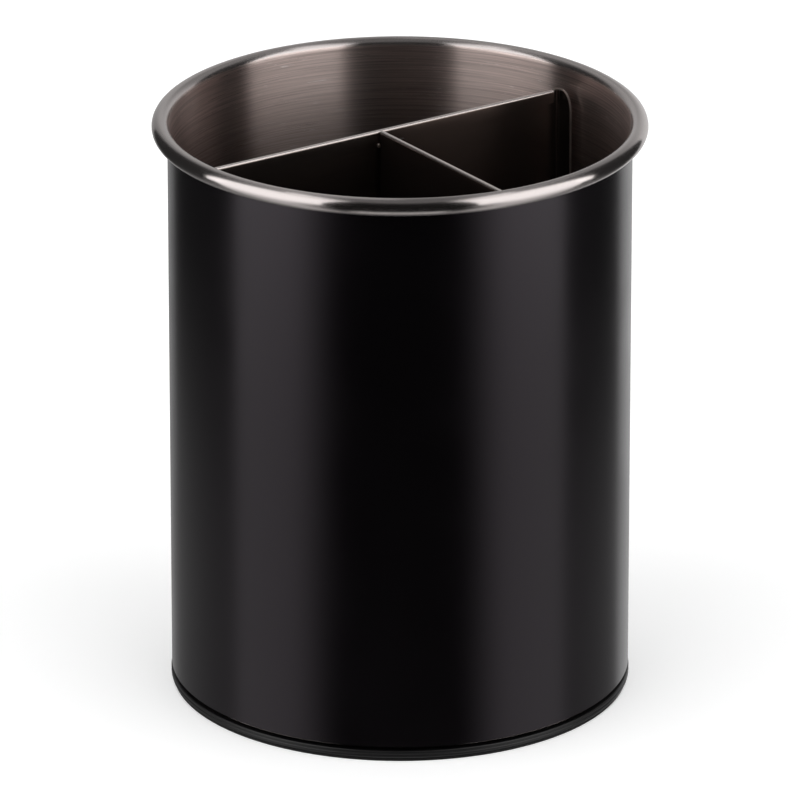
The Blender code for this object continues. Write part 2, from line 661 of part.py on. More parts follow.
def build_cross_divider(parts, cutters, parent):
    """Build the divider that halves the front of the canister, welded by its flange to the main one."""
    sheet_x = -DIVIDER_SHEET / 2
    bend_centre = (sheet_x + BEND_LINE_RADIUS, WELD_FLANGE_Y - BEND_LINE_RADIUS)
    faces = []
    for offset in (DIVIDER_SHEET / 2, -DIVIDER_SHEET / 2):
        weld_flange = [(WELD_FLANGE_WIDTH, WELD_FLANGE_Y + offset)]
        weld_flange += arc(bend_centre, BEND_LINE_RADIUS + offset, 90, 180, BEND_STEPS)
        wall_flange = [(-across, -along) for along, across in wall_bend(-sheet_x, offset)]
        faces.append(weld_flange + wall_flange)
    outline = faces[0] + faces[1][::-1]
    sheet = outline_mesh([outline], DIVIDER_BOTTOM, DIVIDER_TOP)
    divider = mesh_object("cross_divider", sheet, parts, "divider_steel", parent)
    straight_end = wall_bend(-sheet_x, 0)[0][0]
    free_edge = -wall_bend(-sheet_x, 0)[-1][1]
    hem_end = straight_end - HEM_END_SETBACK
    band = box_mesh(
        (sheet_x - DIVIDER_SHEET, -hem_end, DIVIDER_TOP - HEM_HEIGHT / 2),
        (sheet_x + DIVIDER_SHEET, DIVIDER_OFFSET, DIVIDER_TOP + CUT_OVERRUN),
    )
    boolean(divider, cutter("cross_hem_band", band, cutters), "DIFFERENCE")
    hem = hem_mesh(-DIVIDER_OFFSET, hem_end + SEAT_GAP, 0, SECTION_ALONG_MINUS_Y)
    boolean(divider, cutter("cross_hem", hem, cutters), "UNION")
    notch = box_mesh(
        (-HEM_RADIUS - CUT_OVERRUN, MAIN_HEM_FRONT_Y - SEAT_GAP, HEM_BOTTOM - SEAT_GAP),
        (WELD_FLANGE_WIDTH + CUT_OVERRUN, DIVIDER_OFFSET + CUT_OVERRUN, DIVIDER_TOP + CUT_OVERRUN),
    )
    boolean(divider, cutter("cross_notch", notch, cutters), "DIFFERENCE")
    corner = corner_mesh(free_edge, -1, straight_end, BODY_RADIUS, SECTION_ALONG_MINUS_Y)
    boolean(divider, cutter("cross_corner", corner, cutters), "DIFFERENCE")


def build_base(parts):
    """Build what stands still: the base plate and all that it carries."""
    foot = turned_mesh(foot_profile(), LARGE_SEGMENTS)
    mesh_object("anti_slip_ring", foot, parts, "black_rubber")
    mesh_object("base_plate", turned_mesh(base_profile(), LARGE_SEGMENTS), parts, "black_abs")
    race = turned_mesh(race_profile(LOWER_RACE_TOP, LOWER_RACE_BOTTOM), RACE_SEGMENTS)
    mesh_object("lower_race", race, parts, "race_steel")
    mesh_object("axle_bush", turned_mesh(bush_profile(), HUB_SEGMENTS), parts, "acetal")
    mesh_object("hub_plug", turned_mesh(plug_profile(), HUB_SEGMENTS, closed=False), parts, "black_abs")


def build_cage(parts, parent):
    """Build the ring of balls and its cage, which go round at half the canister's speed."""
    mesh_object("ball_cage", cage_mesh(), parts, "nylon", parent)
    place_ring("bearing_ball", ball_mesh(), BALL_COUNT, BEARING_RADIUS, parts, "ball_steel", parent)


def build_canister(parts, parent):
    """Build the canister's wall and floor."""
    mesh_object("canister_wall", turned_mesh(wall_profile(), LARGE_SEGMENTS), parts, "coated_steel", parent)
    floor = turned_mesh(floor_profile(), LARGE_SEGMENTS, closed=False)
    mesh_object("canister_floor", floor, parts, "brushed_steel", parent)


def build_turntable(parts, cutters, parent):
    """Build the turntable plate and upper race, and the studs, washers and nuts that hold them."""
    plate = turned_mesh(turntable_profile(), LARGE_SEGMENTS)
    turntable = mesh_object("turntable_plate", plate, parts, "white_abs", parent)
    recess = STUD_FLANGE_RADIUS + SEAT_GAP
    hole = STUD_RADIUS + SEAT_GAP
    recess_bottom = TURNTABLE_TOP - STUD_FLANGE_HEIGHT - SEAT_GAP
    stepped = [
        (0, TURNTABLE_TOP + CUT_OVERRUN),
        (recess, TURNTABLE_TOP + CUT_OVERRUN),
        (recess, recess_bottom),
        (hole, recess_bottom),
        (hole, TURNTABLE_BOTTOM - CUT_OVERRUN),
        (0, TURNTABLE_BOTTOM - CUT_OVERRUN),
    ]
    holes = ring_of_copies(turned_mesh(stepped, STUD_SEGMENTS, closed=False), STUD_COUNT, STUD_CIRCLE_RADIUS)
    boolean(turntable, cutter("stud_holes", holes, cutters), "DIFFERENCE")
    race = turned_mesh(race_profile(UPPER_RACE_BOTTOM, UPPER_RACE_TOP), RACE_SEGMENTS)
    mesh_object("upper_race", race, parts, "race_steel", parent)

    washer_top = TURNTABLE_BOTTOM - SEAT_GAP
    washer_bottom = washer_top - STUD_WASHER_THICKNESS
    flat_ring = washer_profile(STUD_RADIUS + SEAT_GAP, STUD_WASHER_RADIUS, washer_bottom, washer_top)
    fasteners = {
        "floor_stud": turned_mesh(stud_profile(), STUD_SEGMENTS, closed=False),
        "stud_washer": turned_mesh(flat_ring, STUD_SEGMENTS),
        "stud_nut": nut_mesh(),
    }
    for name, mesh in fasteners.items():
        place_ring(name, mesh, STUD_COUNT, STUD_CIRCLE_RADIUS, parts, "zinc_plate", parent)


def build_pivot(parts, cutters, parent):
    """Build the screw that the canister turns on, with its washers and its threaded insert."""
    screw = turned_mesh(pivot_profile(), HUB_SEGMENTS, closed=False)
    pivot = mesh_object("pivot_screw", screw, parts, "zinc_plate", parent)
    socket_bottom = PIVOT_HEAD_BOTTOM - CUT_OVERRUN
    hexagon = [circle((0, 0), PIVOT_SOCKET_RADIUS, 6)]
    socket = outline_mesh(hexagon, socket_bottom, PIVOT_HEAD_BOTTOM + PIVOT_SOCKET_DEPTH)
    boolean(pivot, cutter("pivot_socket", socket, cutters), "DIFFERENCE")

    bore = PIVOT_SHOULDER_RADIUS + WASHER_BORE_GAP
    top = PIVOT_WASHER_BOTTOM + PIVOT_WASHER_THICKNESS
    flat_ring = washer_profile(bore, PIVOT_WASHER_RADIUS, PIVOT_WASHER_BOTTOM, top)
    mesh_object("pivot_washer", turned_mesh(flat_ring, HUB_SEGMENTS), parts, "zinc_plate", parent)
    mesh_object("wave_washer", wave_washer_mesh(), parts, "race_steel", parent)
    insert_top = INSERT_BOTTOM + INSERT_HEIGHT
    sleeve = washer_profile(INSERT_BORE_RADIUS, INSERT_OUTER_RADIUS, INSERT_BOTTOM, insert_top)
    mesh_object("hub_insert", turned_mesh(sleeve, HUB_SEGMENTS), parts, "brass", parent)


def new_joint(name, parent=None):
    """Return an empty on the canister's axis, which the pieces of one moving body are parented to."""
    joint = bpy.data.objects.new(name, None)
    joint.empty_display_size = BODY_RADIUS
    bpy.context.scene.collection.objects.link(joint)
    joint.parent = parent
    return joint


def main():
    """Build every piece of the holder."""
    clear_scene()
    parts = new_collection("rotating_cutlery_holder")
    cutters = new_collection("cutters")
    canister_spin = new_joint("canister_spin")
    cage_orbit = new_joint("cage_orbit")
    divider_lift = new_joint("divider_lift", canister_spin)
    build_base(parts)
    build_cage(parts, cage_orbit)
    build_canister(parts, canister_spin)
    build_turntable(parts, cutters, canister_spin)
    build_pivot(parts, cutters, canister_spin)
    build_main_divider(parts, cutters, divider_lift)
    build_cross_divider(parts, cutters, divider_lift)


main()
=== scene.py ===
"""Looks of a rotating cutlery holder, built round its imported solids.

Metres and +Z up, as in the frame: the canister turns about Z, +X runs along the main divider, and the two
quarter compartments lie on the -Y side. Places come from the frame, and the sizes inside each piece are
the fields of its class.
"""

import json
import logging
import math
from dataclasses import dataclass, field, replace
from enum import Enum
from typing import Any, Mapping, Sequence

import bmesh
import bpy
from mathutils import Matrix, Vector


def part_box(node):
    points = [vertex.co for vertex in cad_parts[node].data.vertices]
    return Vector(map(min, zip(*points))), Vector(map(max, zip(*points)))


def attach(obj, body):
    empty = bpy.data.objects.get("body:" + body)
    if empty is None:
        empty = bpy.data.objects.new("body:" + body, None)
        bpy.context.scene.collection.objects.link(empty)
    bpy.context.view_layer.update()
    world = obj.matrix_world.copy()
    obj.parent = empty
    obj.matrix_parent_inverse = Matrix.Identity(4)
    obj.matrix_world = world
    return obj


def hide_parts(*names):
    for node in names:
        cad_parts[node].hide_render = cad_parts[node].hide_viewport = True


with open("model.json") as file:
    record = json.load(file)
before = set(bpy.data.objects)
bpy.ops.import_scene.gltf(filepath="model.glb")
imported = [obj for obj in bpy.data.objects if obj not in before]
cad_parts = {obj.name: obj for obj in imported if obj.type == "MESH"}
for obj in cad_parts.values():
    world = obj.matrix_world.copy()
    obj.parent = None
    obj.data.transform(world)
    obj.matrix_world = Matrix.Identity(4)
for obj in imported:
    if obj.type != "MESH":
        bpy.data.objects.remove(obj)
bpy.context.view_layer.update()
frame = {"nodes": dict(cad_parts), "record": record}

Tree = bpy.types.NodeTree
Node = bpy.types.Node
Socket = bpy.types.NodeSocket
Material = bpy.types.Material
Mesh = bpy.types.Mesh
Object = bpy.types.Object
Point = tuple[float, float]
Inputs = Mapping[Any, Any] | Sequence[Any]
Step = tuple[Tree, Mapping[str, Any]]
MILLIMETRE = 0.001
WELD_DISTANCE = 0.000001
SHARP_ANGLE = math.radians(38)
WHITE = (1.0, 1.0, 1.0, 1.0)
SCREEN_MAP = "side_and_height"
# Noise stays mostly between these two values
NOISE_SPAN = (0.3, 0.7)
# A metric thread is about 0.6 of its pitch deep
THREAD_SHARE = 0.6
# A rounding takes up no more of a side than this
SIDE_SHARE = 0.4
log = logging.getLogger("cutlery_holder")


class Body(Enum):
    """The bodies that pieces ride on."""

    BASE = "base"
    CAGE = "cage"
    CANISTER = "canister"
    DIVIDER = "divider"


class Roundness(Enum):
    """How many steps a turned piece takes round its axis, by how large it is."""

    LARGE = 256
    MIDDLE = 128
    SMALL = 48


def fill(tree: Tree, node: Node, inputs: Inputs) -> None:
    """Fill a node's inputs.

    Args:
        tree: The tree that the node is in.
        node: The node.
        inputs: What the inputs get, in order, or by name or number. Each gets a plain value, the output
            that feeds it, or a node whose first output feeds it.
    """
    for key, value in inputs.items() if isinstance(inputs, Mapping) else enumerate(inputs):
        source = value.outputs[0] if isinstance(value, Node) else value
        if isinstance(source, Socket):
            tree.links.new(source, node.inputs[key])
        else:
            node.inputs[key].default_value = source


def add_node(tree: Tree, kind: str, inputs: Inputs = (), **settings: Any) -> Node:
    """Add a node, set its properties and fill its inputs.

    Args:
        tree: The tree that the node goes in.
        kind: The node's type.
        inputs: What its inputs get.
        settings: The node's own properties.

    Returns:
        The new node.
    """
    node = tree.nodes.new(kind)
    for name, value in settings.items():
        setattr(node, name, value)
    fill(tree, node, inputs)
    return node


def linear(colour: str) -> tuple[float, float, float, float]:
    """Turn an sRGB hex colour to the linear values that a shader takes.

    Args:
        colour: Six hex digits after a hash.

    Returns:
        Red, green, blue and an alpha of one.
    """
    channels = []
    for start in (1, 3, 5):
        value = int(colour[start:start + 2], 16) / 255
        channels.append(value / 12.92 if value <= 0.04045 else ((value + 0.055) / 1.055) ** 2.4)
    return channels[0], channels[1], channels[2], 1.0


def new_material(name: str) -> tuple[Material, Tree]:
    """Start a material.

    Args:
        name: Its name.

    Returns:
        The material and its nodes.
    """
    material = bpy.data.materials.new(name)
    material.use_nodes = True
    return material, material.node_tree


def new_object(name: str, data: bpy.types.ID) -> Object:
    """Put an object in the scene.

    Args:
        name: Its name.
        data: Its mesh, lamp or camera.

    Returns:
        The object.
    """
    item = bpy.data.objects.new(name, data)
    bpy.context.scene.collection.objects.link(item)
    return item


@dataclass(frozen=True)
class Grain:
    """Noise of a real size: one cell in millimetres, and the finer layers on it.

    Fineness is how strong each layer is beside the one before it.
    """

    cell_mm: float | tuple[float, float, float]
    layers: float = 2.0
    fineness: float = 0.5

    def draw(self, tree: Tree, place: Node | None = None) -> Node:
        """Add the noise, in the piece's own coordinates where no others are given.

        Args:
            tree: The material's nodes.
            place: The node that gives other coordinates.

        Returns:
            The noise, about 0.5 on average.
        """
        cell = (self.cell_mm,) * 3 if isinstance(self.cell_mm, float) else self.cell_mm
        own = place or add_node(tree, "ShaderNodeTexCoord").outputs["Object"]
        scale = [1 / (size * MILLIMETRE) for size in cell]
        stretched = add_node(tree, "ShaderNodeMapping", {"Vector": own, "Scale": scale})
        inputs = {"Vector": stretched, "Scale": 1.0, "Detail": self.layers, "Roughness": self.fineness}
        return add_node(tree, "ShaderNodeTexNoise", inputs)


@dataclass(frozen=True)
class Finish:
    """A surface: the values its shader starts from, and the grains that its relief, gloss and colour follow.

    The roughness drifts by the two steps given, and the colour goes towards the shade by up to the share.
    In every Mix node, input 0 is the factor, 2 and 3 take numbers, and 6 and 7 take colours.
    """

    name: str
    colour: str
    roughness: float
    metallic: float = 0.0
    ior: float = 1.5
    anisotropic: float = 0.0
    turn: float = 0.0
    sheen: str = "#FFFFFF"
    relief: Grain | None = None
    relief_mm: float = 0.0
    haze: Grain | None = None
    drift: Point = (-0.04, 0.04)
    patches: Grain | None = None
    shade: str = "#8A8A8C"
    share: float = 0.4

    def material(self) -> Material:
        """Return the finish as a material, made on its first use.

        Returns:
            The material.
        """
        known = bpy.data.materials.get(self.name)
        if known:
            return known
        material, tree = new_material(self.name)
        fill(tree, tree.nodes["Principled BSDF"], {
            "Base Color": linear(self.colour),
            "Roughness": self.roughness,
            "Metallic": self.metallic,
            "IOR": self.ior,
            "Anisotropic": self.anisotropic,
            "Anisotropic Rotation": self.turn,
            "Specular Tint": linear(self.sheen),
        })
        fill(tree, tree.nodes["Principled BSDF"], self.pattern(tree))
        return material

    def pattern(self, tree: Tree) -> dict[str, Any]:
        """Draw the relief, the drift of the gloss and the patches of shade that the finish has.

        Args:
            tree: The material's nodes.

        Returns:
            What feeds the shader, by the name of its input.
        """
        drawn = {}
        if self.relief:
            inputs = {"Height": self.relief.draw(tree), "Distance": self.relief_mm * MILLIMETRE}
            drawn["Normal"] = add_node(tree, "ShaderNodeBump", inputs)
        if self.haze:
            drawn["Roughness"] = self.hazed(tree, self.haze.draw(tree))
        if self.patches:
            drawn["Base Color"] = self.shaded(tree, self.patches.draw(tree))
        return drawn

    def hazed(self, tree: Tree, noise: Node) -> Node:
        """Return a roughness that drifts with noise."""
        low, high = (self.roughness + step for step in self.drift)
        return add_node(tree, "ShaderNodeMapRange", (noise, *NOISE_SPAN, low, high))

    def shaded(self, tree: Tree, noise: Node) -> Socket:
        """Let the colour drift towards the shade.

        Args:
            tree: The material's nodes.
            noise: The noise that the drift follows.

        Returns:
            The colour.
        """
        factor = add_node(tree, "ShaderNodeMapRange", (noise, *NOISE_SPAN, 0.0, self.share))
        inputs = {0: factor, 6: linear(self.colour), 7: linear(self.shade)}
        return add_node(tree, "ShaderNodeMix", inputs, data_type="RGBA").outputs[2]


@dataclass(frozen=True)
class PowderCoat(Finish):
    """Black polyester powder coat, baked on steel: satin, with soft reflections and a faint orange peel."""

    sheen: str = "#FFF1FD"
    relief: Grain = Grain(1.6, 1.0)
    relief_mm: float = 0.004
    haze: Grain = Grain(32.0)
    drift: Point = (-0.02, 0.02)


@dataclass(frozen=True)
class BrushedSteel(Finish):
    """Stainless steel, brushed round the axis: fine level streaks, and light drawn out square to them.

    A brush leaves lines about 0.1 mm apart. They are drawn coarser, so that they show in the render. The bead
    is buffed after it is rolled, so from one radius outwards the steel turns bright and smooth. Below a height on
    the wall the colour goes towards a painted shade, darker deeper in the canister. Cutlery leaves short
    scratches, and they get a painted glint: a brighter colour that stands in for the light they catch.
    """

    streaks: Grain = Grain((40.0, 40.0, 0.45), 3.0, 0.65)
    scratches: Grain = Grain((7.0, 7.0, 0.35), 3.0, 0.65)
    relief_mm: float = 0.0015
    drift: Point = (-0.04, 0.05)
    shade: str = "#897A75"
    share: float = 0.75
    # A painted glint: the brighter colour that the scratches get, standing in for the light they catch
    painted_glint_colour: str = "#F2E9E6"
    painted_glint_span: Point = (0.28, 0.34)
    rim_span: Point = (0.07442, 0.0748)
    rim_roughness: float = 0.2
    rim_colour: str = "#B8B1AF"
    # Painted shade: below a height on the wall the colour goes towards this darker one, by up to the share, deeper
    # in the canister
    painted_shade_span: Point = (0.161, 0.182)
    painted_shade_share: float = 0.56
    painted_shade_colour: str = "#4A423F"

    def pattern(self, tree: Tree) -> dict[str, Any]:
        """Draw the streaks in colour, gloss and relief, and point the gloss across them.

        Args:
            tree: The material's nodes.

        Returns:
            What feeds the shader, by the name of its input.
        """
        place = add_node(tree, "ShaderNodeTexCoord").outputs["Object"]
        x, y, z = add_node(tree, "ShaderNodeSeparateXYZ", [place]).outputs
        flat = add_node(tree, "ShaderNodeCombineXYZ", [x, y])
        radius = add_node(tree, "ShaderNodeVectorMath", [flat], operation="LENGTH").outputs["Value"]
        # Both grains are long round the axis, and thin along the wall and across the floor
        across = add_node(tree, "ShaderNodeMath", [radius, z], operation="ADD")
        ways = add_node(tree, "ShaderNodeCombineXYZ", [x, y, across])
        streaks = self.streaks.draw(tree, ways)
        ranges = {
            "rim": (radius, *self.rim_span, 0.0, 1.0),
            "calm": (radius, *self.rim_span, 1.0, 0.0),
            "metal": (radius, *self.rim_span, self.metallic, 1.0),
            "painted_glint": (self.scratches.draw(tree, ways), *self.painted_glint_span, 1.0, 0.0),
            "painted_depth_shade": (z, *self.painted_shade_span, self.painted_shade_share, 0.0),
        }
        made = {name: add_node(tree, "ShaderNodeMapRange", inputs) for name, inputs in ranges.items()}
        # The colour takes a painted glint on the scratches, a painted shade deeper in the canister, and the buffed
        # rim's own colour
        colour = self.shaded(tree, streaks)
        for name, other in (("painted_glint", self.painted_glint_colour), ("painted_depth_shade", self.painted_shade_colour), ("rim", self.rim_colour)):
            inputs = {0: made[name], 6: colour, 7: linear(other)}
            colour = add_node(tree, "ShaderNodeMix", inputs, data_type="RGBA").outputs[2]
        height = add_node(tree, "ShaderNodeMath", [streaks, made["calm"]], operation="MULTIPLY")
        bump_inputs = {"Height": height, "Distance": self.relief_mm * MILLIMETRE}
        gloss_inputs = {0: made["rim"], 2: self.hazed(tree, streaks), 3: self.rim_roughness}
        return {
            "Base Color": colour,
            "Metallic": made["metal"],
            "Roughness": add_node(tree, "ShaderNodeMix", gloss_inputs),
            "Normal": add_node(tree, "ShaderNodeBump", bump_inputs),
            "Tangent": add_node(tree, "ShaderNodeTangent", direction_type="RADIAL", axis="Z"),
        }


@dataclass(frozen=True)
class PolishedSteel(Finish):
    """Stainless steel, buffed with a soft wheel: a mirror with the faint haze that the wheel leaves."""

    relief: Grain = Grain(6.0)
    relief_mm: float = 0.01
    haze: Grain = Grain(6.0)
    drift: Point = (-0.03, 0.03)


@dataclass(frozen=True)
class RolledSheet(Finish):
    """Cold-rolled stainless sheet, cut and folded: grey, satin, with level roll lines and dull patches.

    The crest of a hem is rougher, and its colour is a painted highlight, almost white, for the light that the fold
    catches.
    """

    haze: Grain = Grain((40.0, 40.0, 1.2), 3.0)
    drift: Point = (-0.01, 0.02)
    patches: Grain = Grain((40.0, 40.0, 20.0))
    shade: str = "#6F6A63"
    share: float = 0.3
    crest_span: Point = (0.1852, 0.1856)
    crest_roughness: float = 0.28
    # A painted highlight: the crest's colour, almost white, for the light that the fold catches
    painted_crest_highlight: str = "#E4DBD7"

    def pattern(self, tree: Tree) -> dict[str, Any]:
        """Draw the roll lines and the patches, and the crest's painted highlight over them.

        Args:
            tree: The material's nodes.

        Returns:
            What feeds the shader, by the name of its input.
        """
        plain = super().pattern(tree)
        place = add_node(tree, "ShaderNodeTexCoord").outputs["Object"]
        height = add_node(tree, "ShaderNodeSeparateXYZ", [place]).outputs["Z"]
        crest = add_node(tree, "ShaderNodeMapRange", (height, *self.crest_span, 0.0, 1.0))
        inputs = {0: crest, 6: plain["Base Color"], 7: linear(self.painted_crest_highlight)}
        gloss_inputs = {0: crest, 2: plain["Roughness"], 3: self.crest_roughness}
        return {
            "Base Color": add_node(tree, "ShaderNodeMix", inputs, data_type="RGBA").outputs[2],
            "Roughness": add_node(tree, "ShaderNodeMix", gloss_inputs),
        }


@dataclass(frozen=True)
class Moulding(Finish):
    """Injection-moulded plastic from a spark-eroded tool: an even, very fine grain that scatters light.

    The grain of such a tool is about 0.1 mm. It is drawn coarser, so that it shows in the render. The gloss
    changes slightly where the melt flowed.
    """

    relief: Grain = Grain(0.4)
    relief_mm: float = 0.006
    haze: Grain = Grain(16.0)


@dataclass(frozen=True)
class Rubber(Finish):
    """Pressed rubber compound: matt, with a fine tooth, and a bloom that greys it in patches."""

    # A dozen teeth lie across a patch of bloom
    relief: Grain = Grain(7 / 12)
    relief_mm: float = 0.02
    patches: Grain = Grain(7.0, 4.0)
    shade: str = "#1C1B1B"
    share: float = 0.5


@dataclass(frozen=True)
class WorkedMetal(Finish):
    """Small pressed, turned or plated metal: a drifting shade, and tool marks round the axis."""

    haze: Grain = Grain((6.0, 6.0, 0.3))
    drift: Point = (-0.05, 0.08)
    patches: Grain = Grain(4.2)


class Palette:
    """Every finish on the holder."""

    COAT = PowderCoat("satin_black_powder_coat", "#020102", 0.25)
    INSIDE = BrushedSteel("brushed_stainless", "#E2CFC9", 0.31, 0.97, anisotropic=1.0, turn=0.25)
    # The floor gets less painted shade than the foot of the wall
    FLOOR = replace(INSIDE, name="brushed_stainless_floor", painted_shade_share=0.3)
    SHEET = RolledSheet("rolled_stainless_sheet", "#8A807B", 0.24, 1.0)
    CUT = WorkedMetal("sheared_stainless_edge", "#8F8782", 0.5, 0.9, shade="#766E6A")
    WELD = WorkedMetal("weld_bead", "#B5AEA6", 0.3, 1.0, shade="#7A6A58")
    BLACK_ABS = Moulding("moulded_black_abs", "#0A090A", 0.42, ior=1.53)
    WHITE_ABS = Moulding("moulded_white_abs", "#E4E2DC", 0.45, ior=1.53)
    RUBBER = Rubber("black_rubber_compound", "#0D0C0D", 0.78, ior=1.52)
    RACE = WorkedMetal("pressed_race_steel", "#B9B9BB", 0.32, 1.0)
    BALL = PolishedSteel("ground_ball_steel", "#DCDCDD", 0.06, 1.0)
    NYLON = Moulding("natural_nylon", "#E9E6DC", 0.4, ior=1.53, relief=Grain(0.8), haze=Grain(32.0))
    ACETAL = Moulding("natural_acetal", "#EDEDEA", 0.3, ior=1.48, relief=Grain(0.8), haze=Grain(32.0))
    BRASS = WorkedMetal("turned_brass", "#E0C48F", 0.25, 1.0, shade="#B7925A")
    ZINC = WorkedMetal("bright_zinc_plate", "#C9CBCD", 0.28, 1.0, shade="#A9B0B8")


def make_piece(name: str, mesh: Mesh, body: Body, nodes: Sequence[str] = ()) -> Object:
    """Put a finished mesh in the scene as one piece of the holder.

    Args:
        name: The piece's name.
        mesh: Its mesh, in place and with its materials.
        body: The body that it rides on.
        nodes: The CAD nodes that it stands for.

    Returns:
        The piece.
    """
    mesh.name = name
    mesh.shade_smooth()
    mesh.set_sharp_from_angle(angle=SHARP_ANGLE)
    piece = new_object(name, mesh)
    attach(piece, body.value)
    if nodes:
        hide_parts(*nodes)
    return piece


def geometry_tree(name: str, sizes: Mapping[str, str]) -> tuple[Tree, Any]:
    """Start a tree of geometry nodes with named inputs, the last of which is a material.

    Args:
        name: The tree's name.
        sizes: The name of each input between the geometry and the material, with its kind.

    Returns:
        The tree, and the outputs that give its inputs.
    """
    tree = bpy.data.node_groups.new(name, "GeometryNodeTree")
    for label, kind in {"Geometry": "Geometry", **sizes, "Material": "Material"}.items():
        tree.interface.new_socket(label, in_out="INPUT", socket_type="NodeSocket" + kind)
    tree.interface.new_socket("Geometry", in_out="OUTPUT", socket_type="NodeSocketGeometry")
    return tree, add_node(tree, "NodeGroupInput").outputs


def close_tree(tree: Tree, shape: Node, material: Socket) -> None:
    """End a tree: its instances made real, and its material set.

    Args:
        tree: The tree.
        shape: The node that it ends with.
        material: The input that holds its material.
    """
    real = add_node(tree, "GeometryNodeRealizeInstances", [shape])
    dressed = add_node(tree, "GeometryNodeSetMaterial", {"Geometry": real, "Material": material})
    add_node(tree, "NodeGroupOutput", [dressed])


def applied(worker: Object) -> Mesh:
    """Apply an object's modifiers, remove it, and return the mesh with its faces turned outwards.

    Args:
        worker: The object.

    Returns:
        The mesh.
    """
    bpy.context.view_layer.update()
    result = bpy.data.meshes.new_from_object(worker.evaluated_get(bpy.context.evaluated_depsgraph_get()))
    bpy.data.objects.remove(worker)
    shape = bmesh.new()
    shape.from_mesh(result)
    bmesh.ops.remove_doubles(shape, verts=shape.verts, dist=WELD_DISTANCE)
    bmesh.ops.recalc_face_normals(shape, faces=shape.faces)
    shape.to_mesh(result)
    shape.free()
    return result


def grown(mesh: Mesh, steps: Sequence[Step]) -> Mesh:
    """Run a mesh through trees of geometry nodes.

    Args:
        mesh: What the first tree starts from.
        steps: Each tree, with the values of its named inputs.

    Returns:
        The plain mesh that comes out.
    """
    worker = new_object(mesh.name, mesh)
    for tree, values in steps:
        modifier = worker.modifiers.new(tree.name, "NODES")
        modifier.node_group = tree
        for item in tree.interface.items_tree:
            if item.in_out == "INPUT" and item.name in values:
                modifier[item.identifier] = values[item.name]
    return applied(worker)


@dataclass(frozen=True)
class Turned:
    """A turned piece: its section of radii and heights, and its finish, body, slot and nodes.

    More are the trees that it runs through after it is turned.
    """

    name: str
    section: Sequence[Point]
    finish: Finish
    body: Body
    slot: str
    nodes: Sequence[str]
    roundness: Roundness = Roundness.LARGE
    more: Sequence[Step] = ()


@dataclass
class Lathe:
    """Turns a section about Z, as spinning and turning make round pieces."""

    path_radius: float = 0.05
    tree: Tree = field(init=False)

    def __post_init__(self) -> None:
        """Build the tree: the section is swept along a circle."""
        self.tree, given = geometry_tree("turned", {"Segments": "Int", "Path Radius": "Float"})
        section = add_node(self.tree, "GeometryNodeMeshToCurve", [given["Geometry"]])
        circle_inputs = {"Resolution": given["Segments"], "Radius": given["Path Radius"]}
        circle = add_node(self.tree, "GeometryNodeCurvePrimitiveCircle", circle_inputs)
        upright = add_node(self.tree, "GeometryNodeSetCurveNormal", {"Curve": circle}, mode="Z_UP")
        swept = add_node(self.tree, "GeometryNodeCurveToMesh", {"Curve": upright, "Profile Curve": section})
        merged_inputs = {"Geometry": swept, "Distance": WELD_DISTANCE}
        merged = add_node(self.tree, "GeometryNodeMergeByDistance", merged_inputs)
        close_tree(self.tree, merged, given["Material"])

    def turn(self, part: Turned) -> Mesh:
        """Turn a section to a mesh.

        Args:
            part: What is turned. A section that starts and ends on the axis stays open there.

        Returns:
            The mesh.
        """
        joins = [(index, index + 1) for index in range(len(part.section) - 1)]
        if part.section[0][0] > 0:
            joins.append((len(part.section) - 1, 0))
        profile = bpy.data.meshes.new(part.name)
        # The sweep takes a section's X outwards and its Y downwards
        profile.from_pydata([(radius - self.path_radius, -height, 0) for radius, height in part.section], joins, [])
        values = {"Segments": part.roundness.value, "Path Radius": self.path_radius}
        return grown(profile, [(self.tree, {**values, "Material": part.finish.material()}), *part.more])


@dataclass
class Ring:
    """Repeats one small piece evenly on a circle about Z."""

    tree: Tree = field(init=False)

    def __post_init__(self) -> None:
        """Build the tree: copies stand on the points of a circle, each turned to face outwards."""
        self.tree, given = geometry_tree("ring", {"Count": "Int", "Radius": "Float"})
        circle_inputs = {"Resolution": given["Count"], "Radius": given["Radius"]}
        circle = add_node(self.tree, "GeometryNodeCurvePrimitiveCircle", circle_inputs)
        index = add_node(self.tree, "GeometryNodeInputIndex")
        step = add_node(self.tree, "ShaderNodeMath", [math.tau, given["Count"]], operation="DIVIDE")
        angle = add_node(self.tree, "ShaderNodeMath", [index, step], operation="MULTIPLY")
        facing = add_node(self.tree, "ShaderNodeCombineXYZ", {"Z": angle})
        inputs = {"Points": circle, "Instance": given["Geometry"], "Rotation": facing}
        close_tree(self.tree, add_node(self.tree, "GeometryNodeInstanceOnPoints", inputs), given["Material"])

    def step(self, count: int, radius: float, finish: Finish) -> Step:
        """Return the tree with its values, for use after another tree."""
        return self.tree, {"Count": count, "Radius": radius, "Material": finish.material()}


@dataclass
class TurnedParts:
    """A sub-assembly whose pieces are all turned."""

    lathe: Lathe

    def parts(self) -> list[Turned]:
        """Return the pieces, which each sub-assembly lists in its own way."""
        return []

    def build(self) -> list[Object]:
        """Turn the pieces and put them in the scene.

        Returns:
            The pieces.
        """
        return [
            make_piece(part.name, self.lathe.turn(part), part.body, part.nodes) for part in self.parts()
        ]


def spaced(start: float, end: float, steps: int) -> list[float]:
    """Return evenly spaced values, both ends included."""
    return [start + (end - start) * step / steps for step in range(steps + 1)]


def arc(centre: Point, radius: float, start: float, end: float, steps: int) -> list[Point]:
    """Return the points of an arc, both ends included.

    Args:
        centre: Its centre.
        radius: Its radius.
        start: The angle that it starts at, in degrees.
        end: The angle that it ends at, in degrees.
        steps: How many chords it has.

    Returns:
        The points.
    """
    turns = [math.radians(angle) for angle in spaced(start, end, steps)]
    return [(centre[0] + radius * math.cos(turn), centre[1] + radius * math.sin(turn)) for turn in turns]


def block(near: float, far: float, foot: float, head: float) -> list[Point]:
    """Return four corners of a section: from foot to head at one radius, and back at another."""
    return [(near, foot), (near, head), (far, head), (far, foot)]


